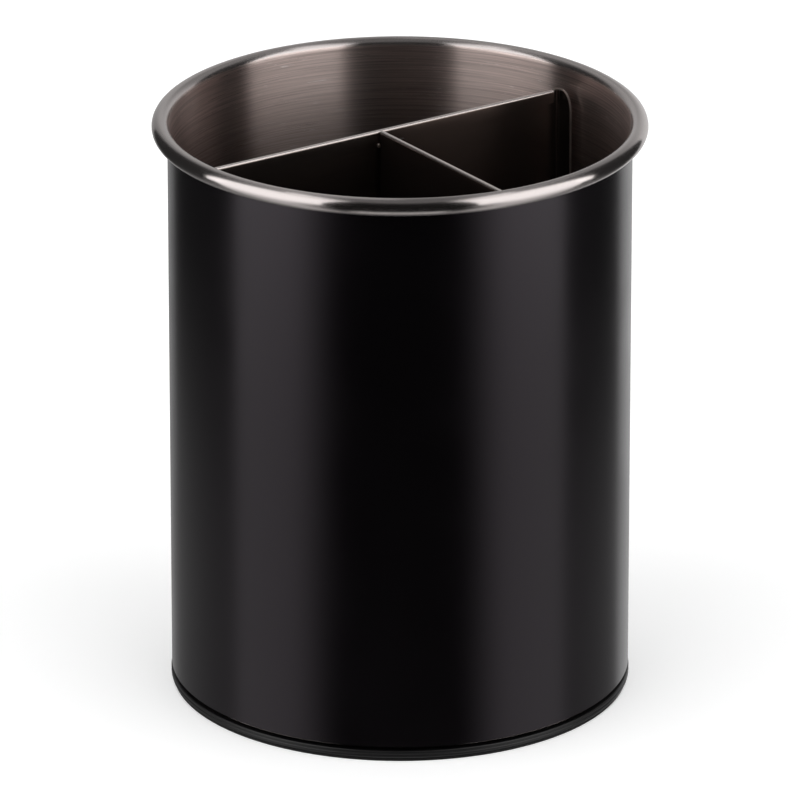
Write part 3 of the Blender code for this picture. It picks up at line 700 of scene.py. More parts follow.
def eased(corners: Sequence[Point], radius: float, steps: int = 3) -> list[Point]:
    """Round the corners of a section, as a real edge is.

    Args:
        corners: The section's corners. Those on the axis stay sharp.
        radius: How far from the corner the rounding starts, where the sides beside it are long enough.
        steps: How many chords it has.

    Returns:
        The points of the rounded section.
    """
    points: list[Point] = []
    for index, corner in enumerate(corners):
        if corner[0] <= 0:
            points.append(corner)
            continue
        here = Vector(corner)
        sides = [Vector(corners[near % len(corners)]) - here for near in (index - 1, index + 1)]
        reach = min(radius, *(SIDE_SHARE * side.length for side in sides))
        first, last = (here + side.normalized() * reach for side in sides)
        points += [
            tuple(first.lerp(here, share).lerp(here.lerp(last, share), share)) for share in spaced(0, 1, steps)
        ]
    return points


def threaded(radius: float, pitch: float, start: float, end: float) -> list[Point]:
    """Return the outline of a thread. It is drawn as rings, because a section can't rise.

    Args:
        radius: The radius of its crests.
        pitch: The distance from crest to crest.
        start: The height that it starts at.
        end: The lower height that it ends at.

    Returns:
        The points, downwards, from root to root.
    """
    root = radius - THREAD_SHARE * pitch
    points = [(root, start)]
    for turn in range(int((start - end) / pitch)):
        points += [(radius, start - (turn + 0.5) * pitch), (root, start - (turn + 1) * pitch)]
    return points


@dataclass
class CanisterWall(TurnedParts):
    """The canister's wall: one sheet, coated outside and brushed inside, curled to a polished bead on top."""

    sheet: float = 0.00065
    bead_radius: float = 0.00285
    bead_end_gap: float = 0.0005
    foot_easing: float = 0.00035
    bead_steps: int = 28

    def section(self) -> list[Point]:
        """Return the wall's section, from the bead's inner side round to its cut edge and down the wall.

        Returns:
            The points.
        """
        low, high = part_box("canister_wall")
        centre = (high.x - self.bead_radius, high.z - self.bead_radius)
        inner = centre[0] - self.bead_radius
        outer = inner + self.sheet
        end = -math.degrees(math.acos((outer + self.bead_end_gap - centre[0]) / self.bead_radius))
        points = arc(centre, self.bead_radius, 180, end, self.bead_steps)
        points += arc(centre, self.bead_radius - self.sheet, end, 180, self.bead_steps)
        foot = low.z + self.foot_easing
        points += [(outer, foot), (outer - self.foot_easing, low.z)]
        return points + [(inner + self.foot_easing, low.z), (inner, foot)]

    def parts(self) -> list[Turned]:
        """Return the wall, coated all over."""
        return [Turned("wall_sheet", self.section(), Palette.COAT, Body.CANISTER, "coated_steel", ["canister_wall"])]

    def build(self) -> list[Object]:
        """Turn the wall, and strip its inside and its bead of the coat.

        Returns:
            The wall.
        """
        pieces = super().build()
        mesh = pieces[0].data
        mesh.materials.append(Palette.INSIDE.material())
        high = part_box("canister_wall")[1]
        bead_level = high.z - self.bead_radius
        inner = high.x - 2 * self.bead_radius
        start, end = inner + self.sheet / 2, inner + self.sheet + self.bead_end_gap / 2
        for face in mesh.polygons:
            if face.center.z > bead_level or not start <= math.hypot(*face.center.xy) <= end:
                face.material_index = 1
        return pieces


@dataclass
class CanisterFloor(TurnedParts):
    """The canister's floor: a pressed disc with its edge turned down, brushed in rings."""

    sheet: float = 0.0006
    corner: float = 0.002
    corner_steps: int = 8

    def parts(self) -> list[Turned]:
        """Return the floor.

        Returns:
            The floor alone.
        """
        low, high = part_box("canister_floor")
        centre = (high.x - self.corner, high.z - self.corner)
        section = [
            (0.0, high.z),
            *arc(centre, self.corner, 90, 0, self.corner_steps),
            (high.x, low.z),
            (high.x - self.sheet, low.z),
            *arc(centre, self.corner - self.sheet, 0, 90, self.corner_steps),
            (0.0, high.z - self.sheet),
        ]
        return [Turned("floor_pan", section, Palette.FLOOR, Body.CANISTER, "brushed_steel", ["canister_floor"])]


@dataclass
class Station:
    """One upright line of a folded sheet: its place in plan, the way it faces, and what of it is there."""

    place: Vector
    facing: Vector
    top: float
    foot: bool = True
    head: bool = True
    hemmed: bool = False

    def rise(self, height: float, forward: float = 0.0) -> Vector:
        """Return the point over the station at a height, moved the way it faces."""
        return Vector((*(self.place + self.facing * forward), height))

    def swung(self, rows: Sequence[Point]) -> "Station":
        """Return the station in another quarter of the plan, given the rows of the turn."""
        turn = Matrix(rows)
        return Station(turn @ self.place, turn @ self.facing, self.top)


@dataclass
class FoldedSheet:
    """A sheet that is bent along upright lines and hemmed along its top.

    The hem is a half turn of the sheet towards the side that the stations face, and a short way down. The
    foot of a station ends just under the hem, and its head goes on from there.
    """

    sheet: float = 0.0008
    hem_height: float = 0.0042
    hem_radius: float = 0.0009
    seat_gap: float = 0.0003
    foot_rows: int = 6
    neck_rows: int = 3
    plain_rows: int = 3
    fold_steps: int = 10
    flap_rows: int = 2

    def __post_init__(self) -> None:
        """Read how high the sheets reach from the frame."""
        self.low, self.high = (corner.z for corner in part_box("main_divider"))

    def ladder(self, station: Station) -> list[list[Vector]]:
        """Return a station's points from the bottom upwards.

        Args:
            station: The station.

        Returns:
            The foot, the neck under the fold, and the fold. Each starts where the one before it ends.
        """
        share = (station.top - self.low) / (self.high - self.low)
        foot_end = self.low + (self.high - self.hem_height - self.seat_gap - self.low) * share
        neck_end = self.low + (self.high - 2 * self.hem_radius - self.low) * share
        if not station.head:
            return [self.run(station, self.low, station.top, self.foot_rows), [], []]
        foot = self.run(station, self.low, foot_end, self.foot_rows) if station.foot else []
        plain = self.run(station, neck_end, station.top, self.plain_rows)
        top = self.fold(station, neck_end) if station.hemmed else plain
        return [foot, self.run(station, foot_end, neck_end, self.neck_rows), top]

    def run(self, station: Station, start: float, end: float, rows: int) -> list[Vector]:
        """Return evenly spaced points over a station, from one height to another."""
        return [station.rise(height) for height in spaced(start, end, rows)]

    def fold(self, station: Station, start: float) -> list[Vector]:
        """Return the points of the hem: up, over and down the other side.

        Args:
            station: The station.
            start: The height that the fold starts at.

        Returns:
            The points.
        """
        radius = self.hem_radius - self.sheet / 2
        level = self.high - self.hem_radius
        curve = [(0.0, start), *arc((radius, level), radius, 180, 0, self.fold_steps)]
        flap = spaced(level, self.high - self.hem_height, self.flap_rows)[1:]
        curve += [(2 * radius, height) for height in flap]
        return [station.rise(height, forward) for forward, height in curve]

    def mesh(self, name: str, stations: Sequence[Station]) -> Mesh:
        """Build the sheet as the middle of its thickness, then thicken it.

        Args:
            name: The mesh's name.
            stations: Its upright lines, from one end to the other.

        Returns:
            The closed mesh, with its cut edges in a finish of their own.
        """
        skin = bmesh.new()
        columns = [[[skin.verts.new(point) for point in run] for run in self.ladder(one)] for one in stations]
        for left, right, lefts, rights in zip(stations, stations[1:], columns, columns[1:]):
            for part, (first, second) in enumerate(zip(lefts, rights)):
                if not first or not second or (part == 2 and left.hemmed != right.hemmed):
                    continue
                for row in range(len(first) - 1):
                    skin.faces.new((first[row], second[row], second[row + 1], first[row + 1]))
        bmesh.ops.remove_doubles(skin, verts=skin.verts, dist=WELD_DISTANCE)
        mesh = bpy.data.meshes.new(name)
        skin.to_mesh(mesh)
        skin.free()
        for finish in (Palette.SHEET, Palette.CUT):
            mesh.materials.append(finish.material())
        worker = new_object(name, mesh)
        wall = worker.modifiers.new("thickness", "SOLIDIFY")
        wall.material_offset_rim = 1
        wall.thickness = self.sheet
        wall.offset = 0.0
        wall.use_even_offset = True
        return applied(worker)


@dataclass
class JointTacks:
    """Tack welds down a joint. A hand lays them, so no two are alike."""

    radius: float = 0.0008
    stretch: float = 1.25
    count: int = 5
    pitch: float = 0.04
    smallest: float = 0.85
    largest: float = 1.15
    seed: int = 4
    roundness: int = 3
    tree: Tree = field(init=False)

    def __post_init__(self) -> None:
        """Build the tree: copies of one bead down a line, each of its own size."""
        sizes = {"Count": "Int", "Start": "Vector", "Step": "Vector"}
        chances = {"Smallest": "Float", "Largest": "Float", "Seed": "Int"}
        self.tree, given = geometry_tree("tacks", {**sizes, **chances})
        line_inputs = {"Count": given["Count"], "Start Location": given["Start"], "Offset": given["Step"]}
        line = add_node(self.tree, "GeometryNodeMeshLine", line_inputs)
        # The third and fourth inputs of the node are the range of a plain number, and the ninth is its seed
        size_inputs = {2: given["Smallest"], 3: given["Largest"], 8: given["Seed"]}
        size = add_node(self.tree, "FunctionNodeRandomValue", size_inputs, data_type="FLOAT")
        inputs = {"Points": line, "Instance": given["Geometry"], "Scale": size.outputs[1]}
        close_tree(self.tree, add_node(self.tree, "GeometryNodeInstanceOnPoints", inputs), given["Material"])

    def lay(self, first: tuple[float, float, float]) -> Mesh:
        """Lay the tacks from the first one downwards.

        Args:
            first: The place of the highest tack.

        Returns:
            Their mesh.
        """
        bead = bmesh.new()
        bmesh.ops.create_icosphere(bead, subdivisions=self.roundness, radius=self.radius)
        bmesh.ops.scale(bead, vec=(1.0, 1.0, self.stretch), verts=bead.verts)
        mesh = bpy.data.meshes.new("tack")
        bead.to_mesh(mesh)
        bead.free()
        values = {
            "Count": self.count,
            "Start": first,
            "Step": (0.0, 0.0, -self.pitch),
            "Smallest": self.smallest,
            "Largest": self.largest,
            "Seed": self.seed,
            "Material": Palette.WELD.material(),
        }
        return grown(mesh, [(self.tree, values)])


@dataclass
class DividerInsert(FoldedSheet):
    """The loose insert: two folded sheets that meet in a T, tacked together down the joint."""

    tacks: JointTacks = field(default_factory=JointTacks)
    bend: float = 0.0012
    flange_width: float = 0.0047
    flange_corner: float = 0.0044
    flange_corner_height: float = 0.007
    end_play: float = 0.0021
    hem_setback: float = 0.0012
    weld_flange: float = 0.009
    relief_gap: float = 0.0003
    tack_reach: float = 0.0005
    tack_drop: float = 0.005
    bead_radius: float = CanisterWall.bead_radius
    bend_steps: int = 12
    flange_steps: int = 2
    corner_steps: int = 10

    def __post_init__(self) -> None:
        """Read the insert's place from the frame."""
        super().__post_init__()
        self.main_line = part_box("main_divider")[1].y - self.sheet / 2
        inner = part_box("canister_wall")[1].x - 2 * self.bead_radius
        self.flange_radius = inner - self.end_play - self.sheet / 2
        self.bend_line = self.bend + self.sheet / 2

    def flange_top(self, from_edge: float) -> float:
        """Return how high a flange reaches, at a distance from its free edge."""
        short = max(1 - from_edge / self.flange_corner, 0.0)
        return self.high - self.flange_corner_height * (1 - math.sqrt(1 - short ** 2))

    def end_stations(self, line: float) -> list[Station]:
        """Return the stations of one end: the straight run's last line, the bend, and the flange on the wall.

        Args:
            line: The distance of the straight run from the axis. It lies along +X, and the flange turns to -Y.

        Returns:
            The stations, outwards along the sheet.
        """
        level = line - self.bend_line
        centre = Vector((math.sqrt((self.flange_radius - self.bend_line) ** 2 - level ** 2), level))
        meeting = math.atan2(centre.y, centre.x)
        stations = []
        for point in arc(centre, self.bend_line, 90, math.degrees(meeting), self.bend_steps):
            place = Vector(point)
            stations.append(Station(place, (centre - place).normalized(), self.high))
        corner = min(self.flange_corner, self.flange_width)
        edges = spaced(self.flange_width, corner, self.flange_steps)[1:-1]
        edges += [corner * (1 - math.sin(angle)) for angle in spaced(0, math.pi / 2, self.corner_steps)]
        for from_edge in edges:
            angle = meeting - (self.flange_width - from_edge) / self.flange_radius
            outwards = Vector((math.cos(angle), math.sin(angle)))
            stations.append(Station(outwards * self.flange_radius, -outwards, self.flange_top(from_edge)))
        return stations

    def main_stations(self) -> list[Station]:
        """Return the stations of the main divider.

        Returns:
            The stations, from its left flange to its right one.
        """
        right = self.end_stations(self.main_line)
        facing = Vector((0.0, -1.0))
        end = right[0].place.x - self.hem_setback
        cut = Station(Vector((end + self.relief_gap, self.main_line)), facing, self.high)
        left = [one.swung(((-1, 0), (0, 1))) for one in (cut, *right)]
        hemmed = [Station(Vector((x, self.main_line)), facing, self.high, hemmed=True) for x in (-end, end)]
        return [*left[::-1], *hemmed, cut, *right]

    def cross_stations(self) -> list[Station]:
        """Return the stations of the cross divider.

        Returns:
            The stations, from its weld flange to the flange on the wall.
        """
        line = self.hem_radius - self.sheet / 2
        ends = [one.swung(((0, -1), (-1, 0))) for one in self.end_stations(line)]
        weld_line = self.main_line - self.sheet - self.seat_gap
        weld_top = self.high - self.hem_height - self.seat_gap
        centre = Vector((-line + self.bend_line, weld_line - self.bend_line))
        stations = [Station(Vector((self.weld_flange, weld_line)), Vector((0.0, -1.0)), weld_top, head=False)]
        for point in arc(centre, self.bend_line, 90, 180, self.bend_steps):
            place = Vector(point)
            stations.append(Station(place, (centre - place).normalized(), weld_top, head=False))
        # The hem runs on over the bend, up to the hem of the main divider
        start = self.main_line + self.sheet / 2 - 2 * self.hem_radius - self.seat_gap
        end = ends[0].place.y + self.hem_setback
        for y, foot, hemmed in (
            (start, False, True),
            (centre.y, True, True),
            (end, True, True),
            (end - self.relief_gap, True, False),
        ):
            stations.append(Station(Vector((-line, y)), Vector((1.0, 0.0)), self.high, foot, hemmed=hemmed))
        return stations + ends

    def build(self) -> list[Object]:
        """Fold both sheets and lay the tacks.

        Returns:
            The three pieces.
        """
        main = self.mesh("main", self.main_stations())
        cross = self.mesh("cross", self.cross_stations())
        groove = (self.sheet / 2 - self.hem_radius, self.main_line - self.sheet / 2 - self.tack_reach)
        tacks = self.tacks.lay((*groove, self.high - self.tack_drop))
        return [
            make_piece("main_divider_sheet", main, Body.DIVIDER, ["main_divider"]),
            make_piece("cross_divider_sheet", cross, Body.DIVIDER, ["cross_divider"]),
            make_piece("joint_tacks", tacks, Body.DIVIDER),
        ]


@dataclass
class StandingBase(TurnedParts):
    """What stands still and shows: the moulded base plate and the rubber ring under it."""

    seat_gap: float = 0.0003
    thickness: float = 0.0024
    edge_easing: float = 0.0004
    mould_line_depth: float = 0.0002
    small_easing: float = 0.00015
    rib_height: float = 0.001
    rib_width: float = 0.0012
    lip_width: float = 0.0014
    lip_gap: float = 0.0015
    lip_height: float = 0.0035
    floor_sheet: float = CanisterFloor.sheet
    hub_side_gap: float = 0.0006
    hub_wall: float = 0.0024
    bush_barrel: float = 0.0051
    bush_flange: float = 0.0008
    foot_width: float = 0.0085
    foot_tread: float = 0.0009
    foot_rib: float = 0.0026

    def base_section(self) -> list[Point]:
        """Return the base plate's section.

        Returns:
            The corners, from its edge over the underside to the hub and back.
        """
        low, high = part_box("base_plate")
        top = low.z + self.thickness
        middle, notch = (low.z + top) / 2, self.mould_line_depth
        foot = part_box("anti_slip_ring")[1]
        groove, half = foot.x - self.foot_width / 2, self.foot_rib / 2 + self.seat_gap
        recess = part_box("pivot_washer")[1].x + self.hub_side_gap
        hub = recess + self.hub_wall
        bush_low, bush_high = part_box("axle_bush")
        bore = self.bush_barrel + self.seat_gap
        web = bush_high.z - self.bush_flange - self.seat_gap
        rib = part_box("lower_race")[1].x + self.seat_gap
        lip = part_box("canister_floor")[1].x - self.floor_sheet - self.lip_gap
        edge = [(high.x, top), (high.x, middle + notch), (high.x - notch, middle), (high.x, middle - notch)]
        socket = [(recess, low.z), (recess, bush_low.z), (bore, bush_low.z), (bore, web), (hub, web), (hub, top)]
        return [
            *edge,
            (high.x, low.z),
            *block(groove + half, groove - half, low.z, foot.z + self.seat_gap),
            *socket,
            *block(rib, rib + self.rib_width, top, top + self.rib_height),
            *block(lip - self.lip_width, lip, top, top + self.lip_height),
        ]

    def foot_section(self) -> list[Point]:
        """Return the rubber ring's section.

        Returns:
            The corners of a flat tread with a rib on its back.
        """
        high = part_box("anti_slip_ring")[1]
        middle, half = high.x - self.foot_width / 2, self.foot_rib / 2
        tread = block(high.x, high.x - self.foot_width, self.foot_tread, 0.0)
        return tread + block(middle - half, middle + half, self.foot_tread, high.z)

    def parts(self) -> list[Turned]:
        """Return the base plate and the rubber ring.

        Returns:
            Both.
        """
        base = eased(self.base_section(), self.edge_easing)
        foot = eased(self.foot_section(), self.small_easing)
        return [
            Turned("base_moulding", base, Palette.BLACK_ABS, Body.BASE, "black_abs", ["base_plate"]),
            Turned("rubber_foot_ring", foot, Palette.RUBBER, Body.BASE, "black_rubber", ["anti_slip_ring"]),
        ]


@dataclass
class Bearing(TurnedParts):
    """The thrust bearing: two pressed races, and the balls that run between them."""

    ring: Ring
    path_radius: float = 0.05
    groove_depth: float = 0.0008
    groove_width: float = 0.0054
    groove_steps: int = 10
    easing: float = 0.0003
    ball_radius: float = 0.003
    ball_count: int = 12
    ball_steps: int = 16

    def race_section(self, node: str, side: int) -> list[Point]:
        """Return a race's section, with the round groove that the balls run in.

        Args:
            node: The race's CAD node.
            side: 1 where the groove is on top, and -1 where it is underneath.

        Returns:
            The points.
        """
        low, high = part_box(node)
        face, back = (high.z, low.z) if side > 0 else (low.z, high.z)
        half = self.groove_width / 2
        curve = (half ** 2 + self.groove_depth ** 2) / (2 * self.groove_depth)
        reach = math.degrees(math.asin(half / curve))
        centre = (self.path_radius, face + side * (curve - self.groove_depth))
        groove = arc(centre, curve, -side * (90 + reach), -side * (90 - reach), self.groove_steps)
        return eased(block(high.x, 2 * self.path_radius - high.x, face, back), self.easing) + groove

    def ball_section(self) -> list[Point]:
        """Return half of a ball's outline.

        Returns:
            The points, from its top round to its underside.
        """
        low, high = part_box("bearing_ball_1")
        turn = 180 / self.ball_steps
        middle = (0.0, (low.z + high.z) / 2)
        side = arc(middle, self.ball_radius, 90 - turn, turn - 90, self.ball_steps - 2)
        return [(0.0, high.z), *side, (0.0, low.z)]

    def parts(self) -> list[Turned]:
        """Return the races, and the balls on their path.

        Returns:
            The three pieces.
        """
        lower, upper = self.race_section("lower_race", 1), self.race_section("upper_race", -1)
        path = [self.ring.step(self.ball_count, self.path_radius, Palette.BALL)]
        balls = [f"bearing_ball_{number + 1}" for number in range(self.ball_count)]
        race, ball, section = Palette.RACE, Palette.BALL, self.ball_section()
        return [
            Turned("lower_race_ring", lower, race, Body.BASE, "race_steel", ["lower_race"]),
            Turned("upper_race_ring", upper, race, Body.CANISTER, "race_steel", ["upper_race"]),
            Turned("ground_balls", section, ball, Body.CAGE, "ball_steel", balls, Roundness.SMALL, path),
        ]


@dataclass
class Pivot(TurnedParts):
    """The shoulder screw that holds both halves together, with its washer, bush, insert and plug."""

    head_height: float = 0.0016
    socket_radius: float = 0.0019
    socket_depth: float = 0.0009
    shoulder_radius: float = 0.003
    thread_radius: float = 0.0022
    thread_pitch: float = 0.0007
    running_gap: float = 0.0003
    bush_barrel: float = StandingBase.bush_barrel
    bush_flange: float = StandingBase.bush_flange
    easing: float = 0.0003

    def screw_section(self) -> list[Point]:
        """Return the screw's section.

        Returns:
            The points, from its tip down to the socket in its head.
        """
        low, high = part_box("pivot_screw")
        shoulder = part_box("hub_insert")[0].z - self.running_gap
        head, socket = low.z + self.head_height, low.z + self.socket_depth
        body = [(0.0, shoulder), (self.shoulder_radius, shoulder), (self.shoulder_radius, head)]
        body += block(high.x, self.socket_radius, head, low.z)[:3]
        body += [(self.socket_radius, socket), (0.0, socket)]
        thread = threaded(self.thread_radius, self.thread_pitch, high.z, shoulder)
        return [(0.0, high.z), *thread, *eased(body, self.easing)[1:]]

    def ring_section(self, node: str, bore: float) -> list[Point]:
        """Return the section of a plain ring that fills a node's box round a bore."""
        low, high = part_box(node)
        return eased(block(high.x, bore, high.z, low.z), self.easing)

    def bush_section(self, bore: float) -> list[Point]:
        """Return the bush's section.

        Args:
            bore: The radius of its bore.

        Returns:
            The points of a barrel with a flange on top.
        """
        low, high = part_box("axle_bush")
        under = high.z - self.bush_flange
        barrel = block(self.bush_barrel, bore, under, low.z)[:3]
        return eased([(high.x, high.z), (high.x, under), *barrel, (bore, high.z)], self.easing)

    def plug_section(self) -> list[Point]:
        """Return the plug's section: a plain disc with eased edges."""
        low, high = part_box("hub_plug")
        return eased([(0.0, high.z), (high.x, high.z), (high.x, low.z), (0.0, low.z)], self.easing)

    def parts(self) -> list[Turned]:
        """Return each of the pivot's pieces.

        Returns:
            The five pieces.
        """
        bore = self.shoulder_radius + self.running_gap
        washer = self.ring_section("pivot_washer", bore)
        insert = self.ring_section("hub_insert", self.thread_radius + self.running_gap)
        zinc, moving, still = Palette.ZINC, Body.CANISTER, Body.BASE
        rows = (
            ("shoulder_screw", self.screw_section(), zinc, moving, "zinc_plate", "pivot_screw"),
            ("flat_washer", washer, zinc, moving, "zinc_plate", "pivot_washer"),
            ("flanged_bush", self.bush_section(bore), Palette.ACETAL, still, "acetal", "axle_bush"),
            ("threaded_insert", insert, Palette.BRASS, moving, "brass", "hub_insert"),
            ("recess_plug", self.plug_section(), Palette.BLACK_ABS, still, "black_abs", "hub_plug"),
        )
        return [Turned(*row, [node], Roundness.MIDDLE) for *row, node in rows]


@dataclass
class FloorStuds(TurnedParts):
    """The weld studs under the canister's floor, and the washers under the turntable plate."""

    ring: Ring
    count: int = 3
    circle_radius: float = 0.03
    flange_height: float = 0.0007
    thread_radius: float = 0.0015
    thread_pitch: float = 0.0005
    washer_bore: float = 0.0018
    easing: float = 0.0001

    def stud_section(self) -> list[Point]:
        """Return a stud's section.

        Returns:
            The points, from the weld flange down to the tip.
        """
        low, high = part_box("floor_stud_1")
        flange = high.x - self.circle_radius
        under = high.z - self.flange_height
        thread = threaded(self.thread_radius, self.thread_pitch, under, low.z)
        return [(0.0, high.z), (flange, high.z), (flange, under), *thread, (0.0, low.z)]

    def washer_section(self) -> list[Point]:
        """Return a washer's section."""
        low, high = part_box("stud_washer_1")
        return eased(block(high.x - self.circle_radius, self.washer_bore, high.z, low.z), self.easing)

    def parts(self) -> list[Turned]:
        """Return the studs and the washers, three of each on the circle.

        Returns:
            Both sets.
        """
        circle = [self.ring.step(self.count, self.circle_radius, Palette.ZINC)]
        rows = (
            ("weld_studs", self.stud_section(), "floor_stud_"),
            ("stud_washers", self.washer_section(), "stud_washer_"),
        )
        made = []
        for name, section, node in rows:
            nodes = [node + str(number + 1) for number in range(self.count)]
            like = (Palette.ZINC, Body.CANISTER, "zinc_plate")
            made.append(Turned(name, section, *like, nodes, Roundness.SMALL, circle))
        return made


@dataclass
class CarriedParts:
    """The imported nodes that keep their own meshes, each with the finish of what it is made of."""

    finishes: Mapping[str, Finish] = field(default_factory=lambda: {
        "race_steel": Palette.RACE,
        "nylon": Palette.NYLON,
        "white_abs": Palette.WHITE_ABS,
        "zinc_plate": Palette.ZINC,
    })

    def dress(self) -> int:
        """Dress every node that still shows.

        Returns:
            How many nodes it dressed.
        """
        parts = [(frame["nodes"][part["node"]], part["material_slot"]) for part in frame["record"]["subparts"]]
        shown = [(node, slot) for node, slot in parts if not node.hide_render]
        for node, slot in shown:
            node.data.materials.clear()
            node.data.materials.append(self.finishes[slot].material())
        return len(shown)


@dataclass(frozen=True)
class Glow:
    """The light of a screen, which changes evenly with height and with the angle from the camera.

    Its strength is 1 for white: the low one up to the start height, and the high one from the end height.
    Screens that fade in hold the given share of it at the first angle, and all of it from the last one.
    """

    low: float
    high: float
    start: float = 0.0
    end: float = 0.35
    fade_share: float = 1.0
    fade_first: float = 0.0
    fade_last: float = 90.0

    def material(self, name: str) -> Material:
        """Return the glow as a material.

        Args:
            name: The material's name.

        Returns:
            The material, which reads the angle and the height from the screen's UV map.
        """
        material, tree = new_material(name)
        tree.nodes.clear()
        place = add_node(tree, "ShaderNodeUVMap", uv_map=SCREEN_MAP)
        across, height, _ = add_node(tree, "ShaderNodeSeparateXYZ", [place]).outputs
        side = add_node(tree, "ShaderNodeMath", [across], operation="ABSOLUTE")
        shares = [
            add_node(tree, "ShaderNodeMapRange", ramp, interpolation_type="SMOOTHSTEP") for ramp in (
                (height, self.start, self.end, self.low, self.high),
                (side, self.fade_first, self.fade_last, self.fade_share, 1.0),
            )
        ]
        strength = add_node(tree, "ShaderNodeMath", shares, operation="MULTIPLY")
        light = add_node(tree, "ShaderNodeEmission", {"Strength": strength})
        add_node(tree, "ShaderNodeOutputMaterial", [light])
        return material


@dataclass(frozen=True)
class Panel:
    """A curved screen that stands round the holder, from one side angle to another, seen only in reflections."""

    name: str
    start: float
    end: float
    low: float
    high: float
    glow: Glow


@dataclass
class Studio:
    """Floor, world, lamps and the screens that shape the reflections, as a product photographer sets them.

    A flag is a dark screen. The azimuth is the camera's, and side angles are in degrees from it.
    """

    azimuth: float
    screen_radius: float = 0.35
    screen_steps: int = 24
    level_steps: int = 59
    screen_foot: float = -0.6
    lid_height: float = 0.9
    floor_size: float = 9.0
    floor_colour: str = "#E8E8E8"
    floor_roughness: float = 0.9
    floor_lift: float = 0.3
    fill_light: float = 0.35
    lamp_strengths: tuple[float, float, float] = (1.15, 0.9, 0.9)
    lamp_tilt: float = 50.0
    lamp_side: float = 55.0
    lamp_width: float = 60.0
    front: Glow = Glow(0.013, 0.03, 0.35, 0.85)
    low_soft: Glow = Glow(0.68, 1.5, -0.02, 0.15, 0.06, 28.0, 52.0)
    high_soft: Glow = Glow(1.9, 0.9, 0.5, 0.9)
    hot: Glow = Glow(2.4, 1.3, 0.5, 0.9)
    low_side: Glow = Glow(0.25, 0.04, -0.1, 0.05)
    high_side: Glow = Glow(0.035, 0.3, 0.4, 0.9)
    dim_back: Glow = Glow(0.66, 0.55, 0.02, 0.3, 0.55, 140.0, 168.0)
    bright_back: Glow = Glow(0.8, 0.36, 0.22, 0.42, 0.75, 178.0, 154.0)
    lid: Glow = Glow(2.3, 1.5, -0.3, 0.3, 0.11, 0.17, 0.34)
    table: Glow = Glow(0.42, 0.42)
    front_foot: float = -0.2
    soft_start: float = 28.0
    high_start: float = 31.5
    soft_end: float = 88.0
    soft_split: float = 0.15
    low_end: float = 81.5
    hot_start: float = 80.0
    left_back: float = 140.0
    right_back: float = 131.0

    def panels(self) -> list[Panel]:
        """Return the curved screens.

        Returns:
            Dark ones in front, softboxes on both sides, dark ones beyond them, and a back in two halves.
        """
        foot, split, top = self.screen_foot, self.soft_split, self.lid_height
        near, high_near, far = self.soft_start, self.high_start, self.soft_end
        panels = [
            Panel("low_front_flag", -near, near, self.front_foot, split, self.front),
            Panel("high_front_flag", -high_near, high_near, split, top, self.front),
            Panel("right_back_screen", self.right_back, 180, foot, top, self.bright_back),
            Panel("left_back_screen", -180, -self.left_back, foot, top, self.dim_back),
        ]
        for side, sign, rear in (("left", -1, self.left_back), ("right", 1, self.right_back)):
            for name, start, end, low, high, glow in (
                ("low_softbox", near, self.low_end, foot, split, self.low_soft),
                ("high_softbox", high_near, self.hot_start, split, top, self.high_soft),
                ("hot_strip", self.hot_start, far, split, top, self.hot),
                ("low_flag", self.low_end, rear, foot, split, self.low_side),
                ("high_flag", far, rear, split, top, self.high_side),
            ):
                panels.append(Panel(side + "_" + name, sign * start, sign * end, low, high, glow))
        return panels

    def add_screen(
        self, name: str, points: Sequence[Any], faces: Sequence[Any], readings: Sequence[Point], glow: Glow
    ) -> None:
        """Put a screen in the studio, seen by reflections alone.

        Args:
            name: The screen's name.
            points: The points of its mesh.
            faces: The faces of its mesh.
            readings: What its glow reads at each point: the angle and the height.
            glow: Its glow.
        """
        mesh = bpy.data.meshes.new(name)
        mesh.from_pydata(points, [], faces)
        layer = mesh.uv_layers.new(name=SCREEN_MAP)
        for corner in mesh.loops:
            layer.data[corner.index].uv = readings[corner.vertex_index]
        mesh.materials.append(glow.material(name))
        screen = new_object(name, mesh)
        screen.visible_camera = False
        screen.visible_diffuse = False
        screen.visible_shadow = False

    def add_curved(self, panel: Panel) -> None:
        """Stand one curved screen.

        Args:
            panel: What the screen is.
        """
        points, readings = [], []
        for side in spaced(panel.start, panel.end, self.screen_steps):
            angle = math.radians(self.azimuth + side - 90)
            for height in (panel.low, panel.high):
                points.append((self.screen_radius * math.cos(angle), self.screen_radius * math.sin(angle), height))
                readings.append((min(abs(side), 360 - abs(side)), height))
        faces = [(2 * step, 2 * step + 2, 2 * step + 3, 2 * step + 1) for step in range(self.screen_steps)]
        self.add_screen(panel.name, points, faces, readings, panel.glow)

    def add_level(self, name: str, height: float, glow: Glow) -> None:
        """Lay one round screen level.

        Its glow reads how far a point lies to the side as the angle, and how far behind the middle as the height.

        Args:
            name: The screen's name.
            height: How high it lies.
            glow: Its glow.
        """
        last = 360 - 360 / (self.level_steps + 1)
        circle = arc((0.0, 0.0), self.screen_radius, 0, last, self.level_steps)
        turn = math.radians(self.azimuth)
        cosine, sine = math.cos(turn), math.sin(turn)
        readings = [(x * cosine + y * sine, -x * sine + y * cosine) for x, y in circle]
        self.add_screen(name, [(*point, height) for point in circle], [range(len(circle))], readings, glow)

    def seen(self, tree: Tree, otherwise: float, strength: float) -> Node:
        """Tell the rays that see the background from the rest: those from the camera, in gloss and through glass.

        Args:
            tree: The nodes that need it.
            otherwise: What the rest get.
            strength: What those rays get.

        Returns:
            The value.
        """
        rays = add_node(tree, "ShaderNodeLightPath").outputs
        two = add_node(tree, "ShaderNodeMath", [rays["Is Camera Ray"], rays["Is Glossy Ray"]], operation="MAXIMUM")
        all_three = add_node(tree, "ShaderNodeMath", [two, rays["Is Transmission Ray"]], operation="MAXIMUM")
        return add_node(tree, "ShaderNodeMapRange", (all_three, 0.0, 1.0, otherwise, strength))

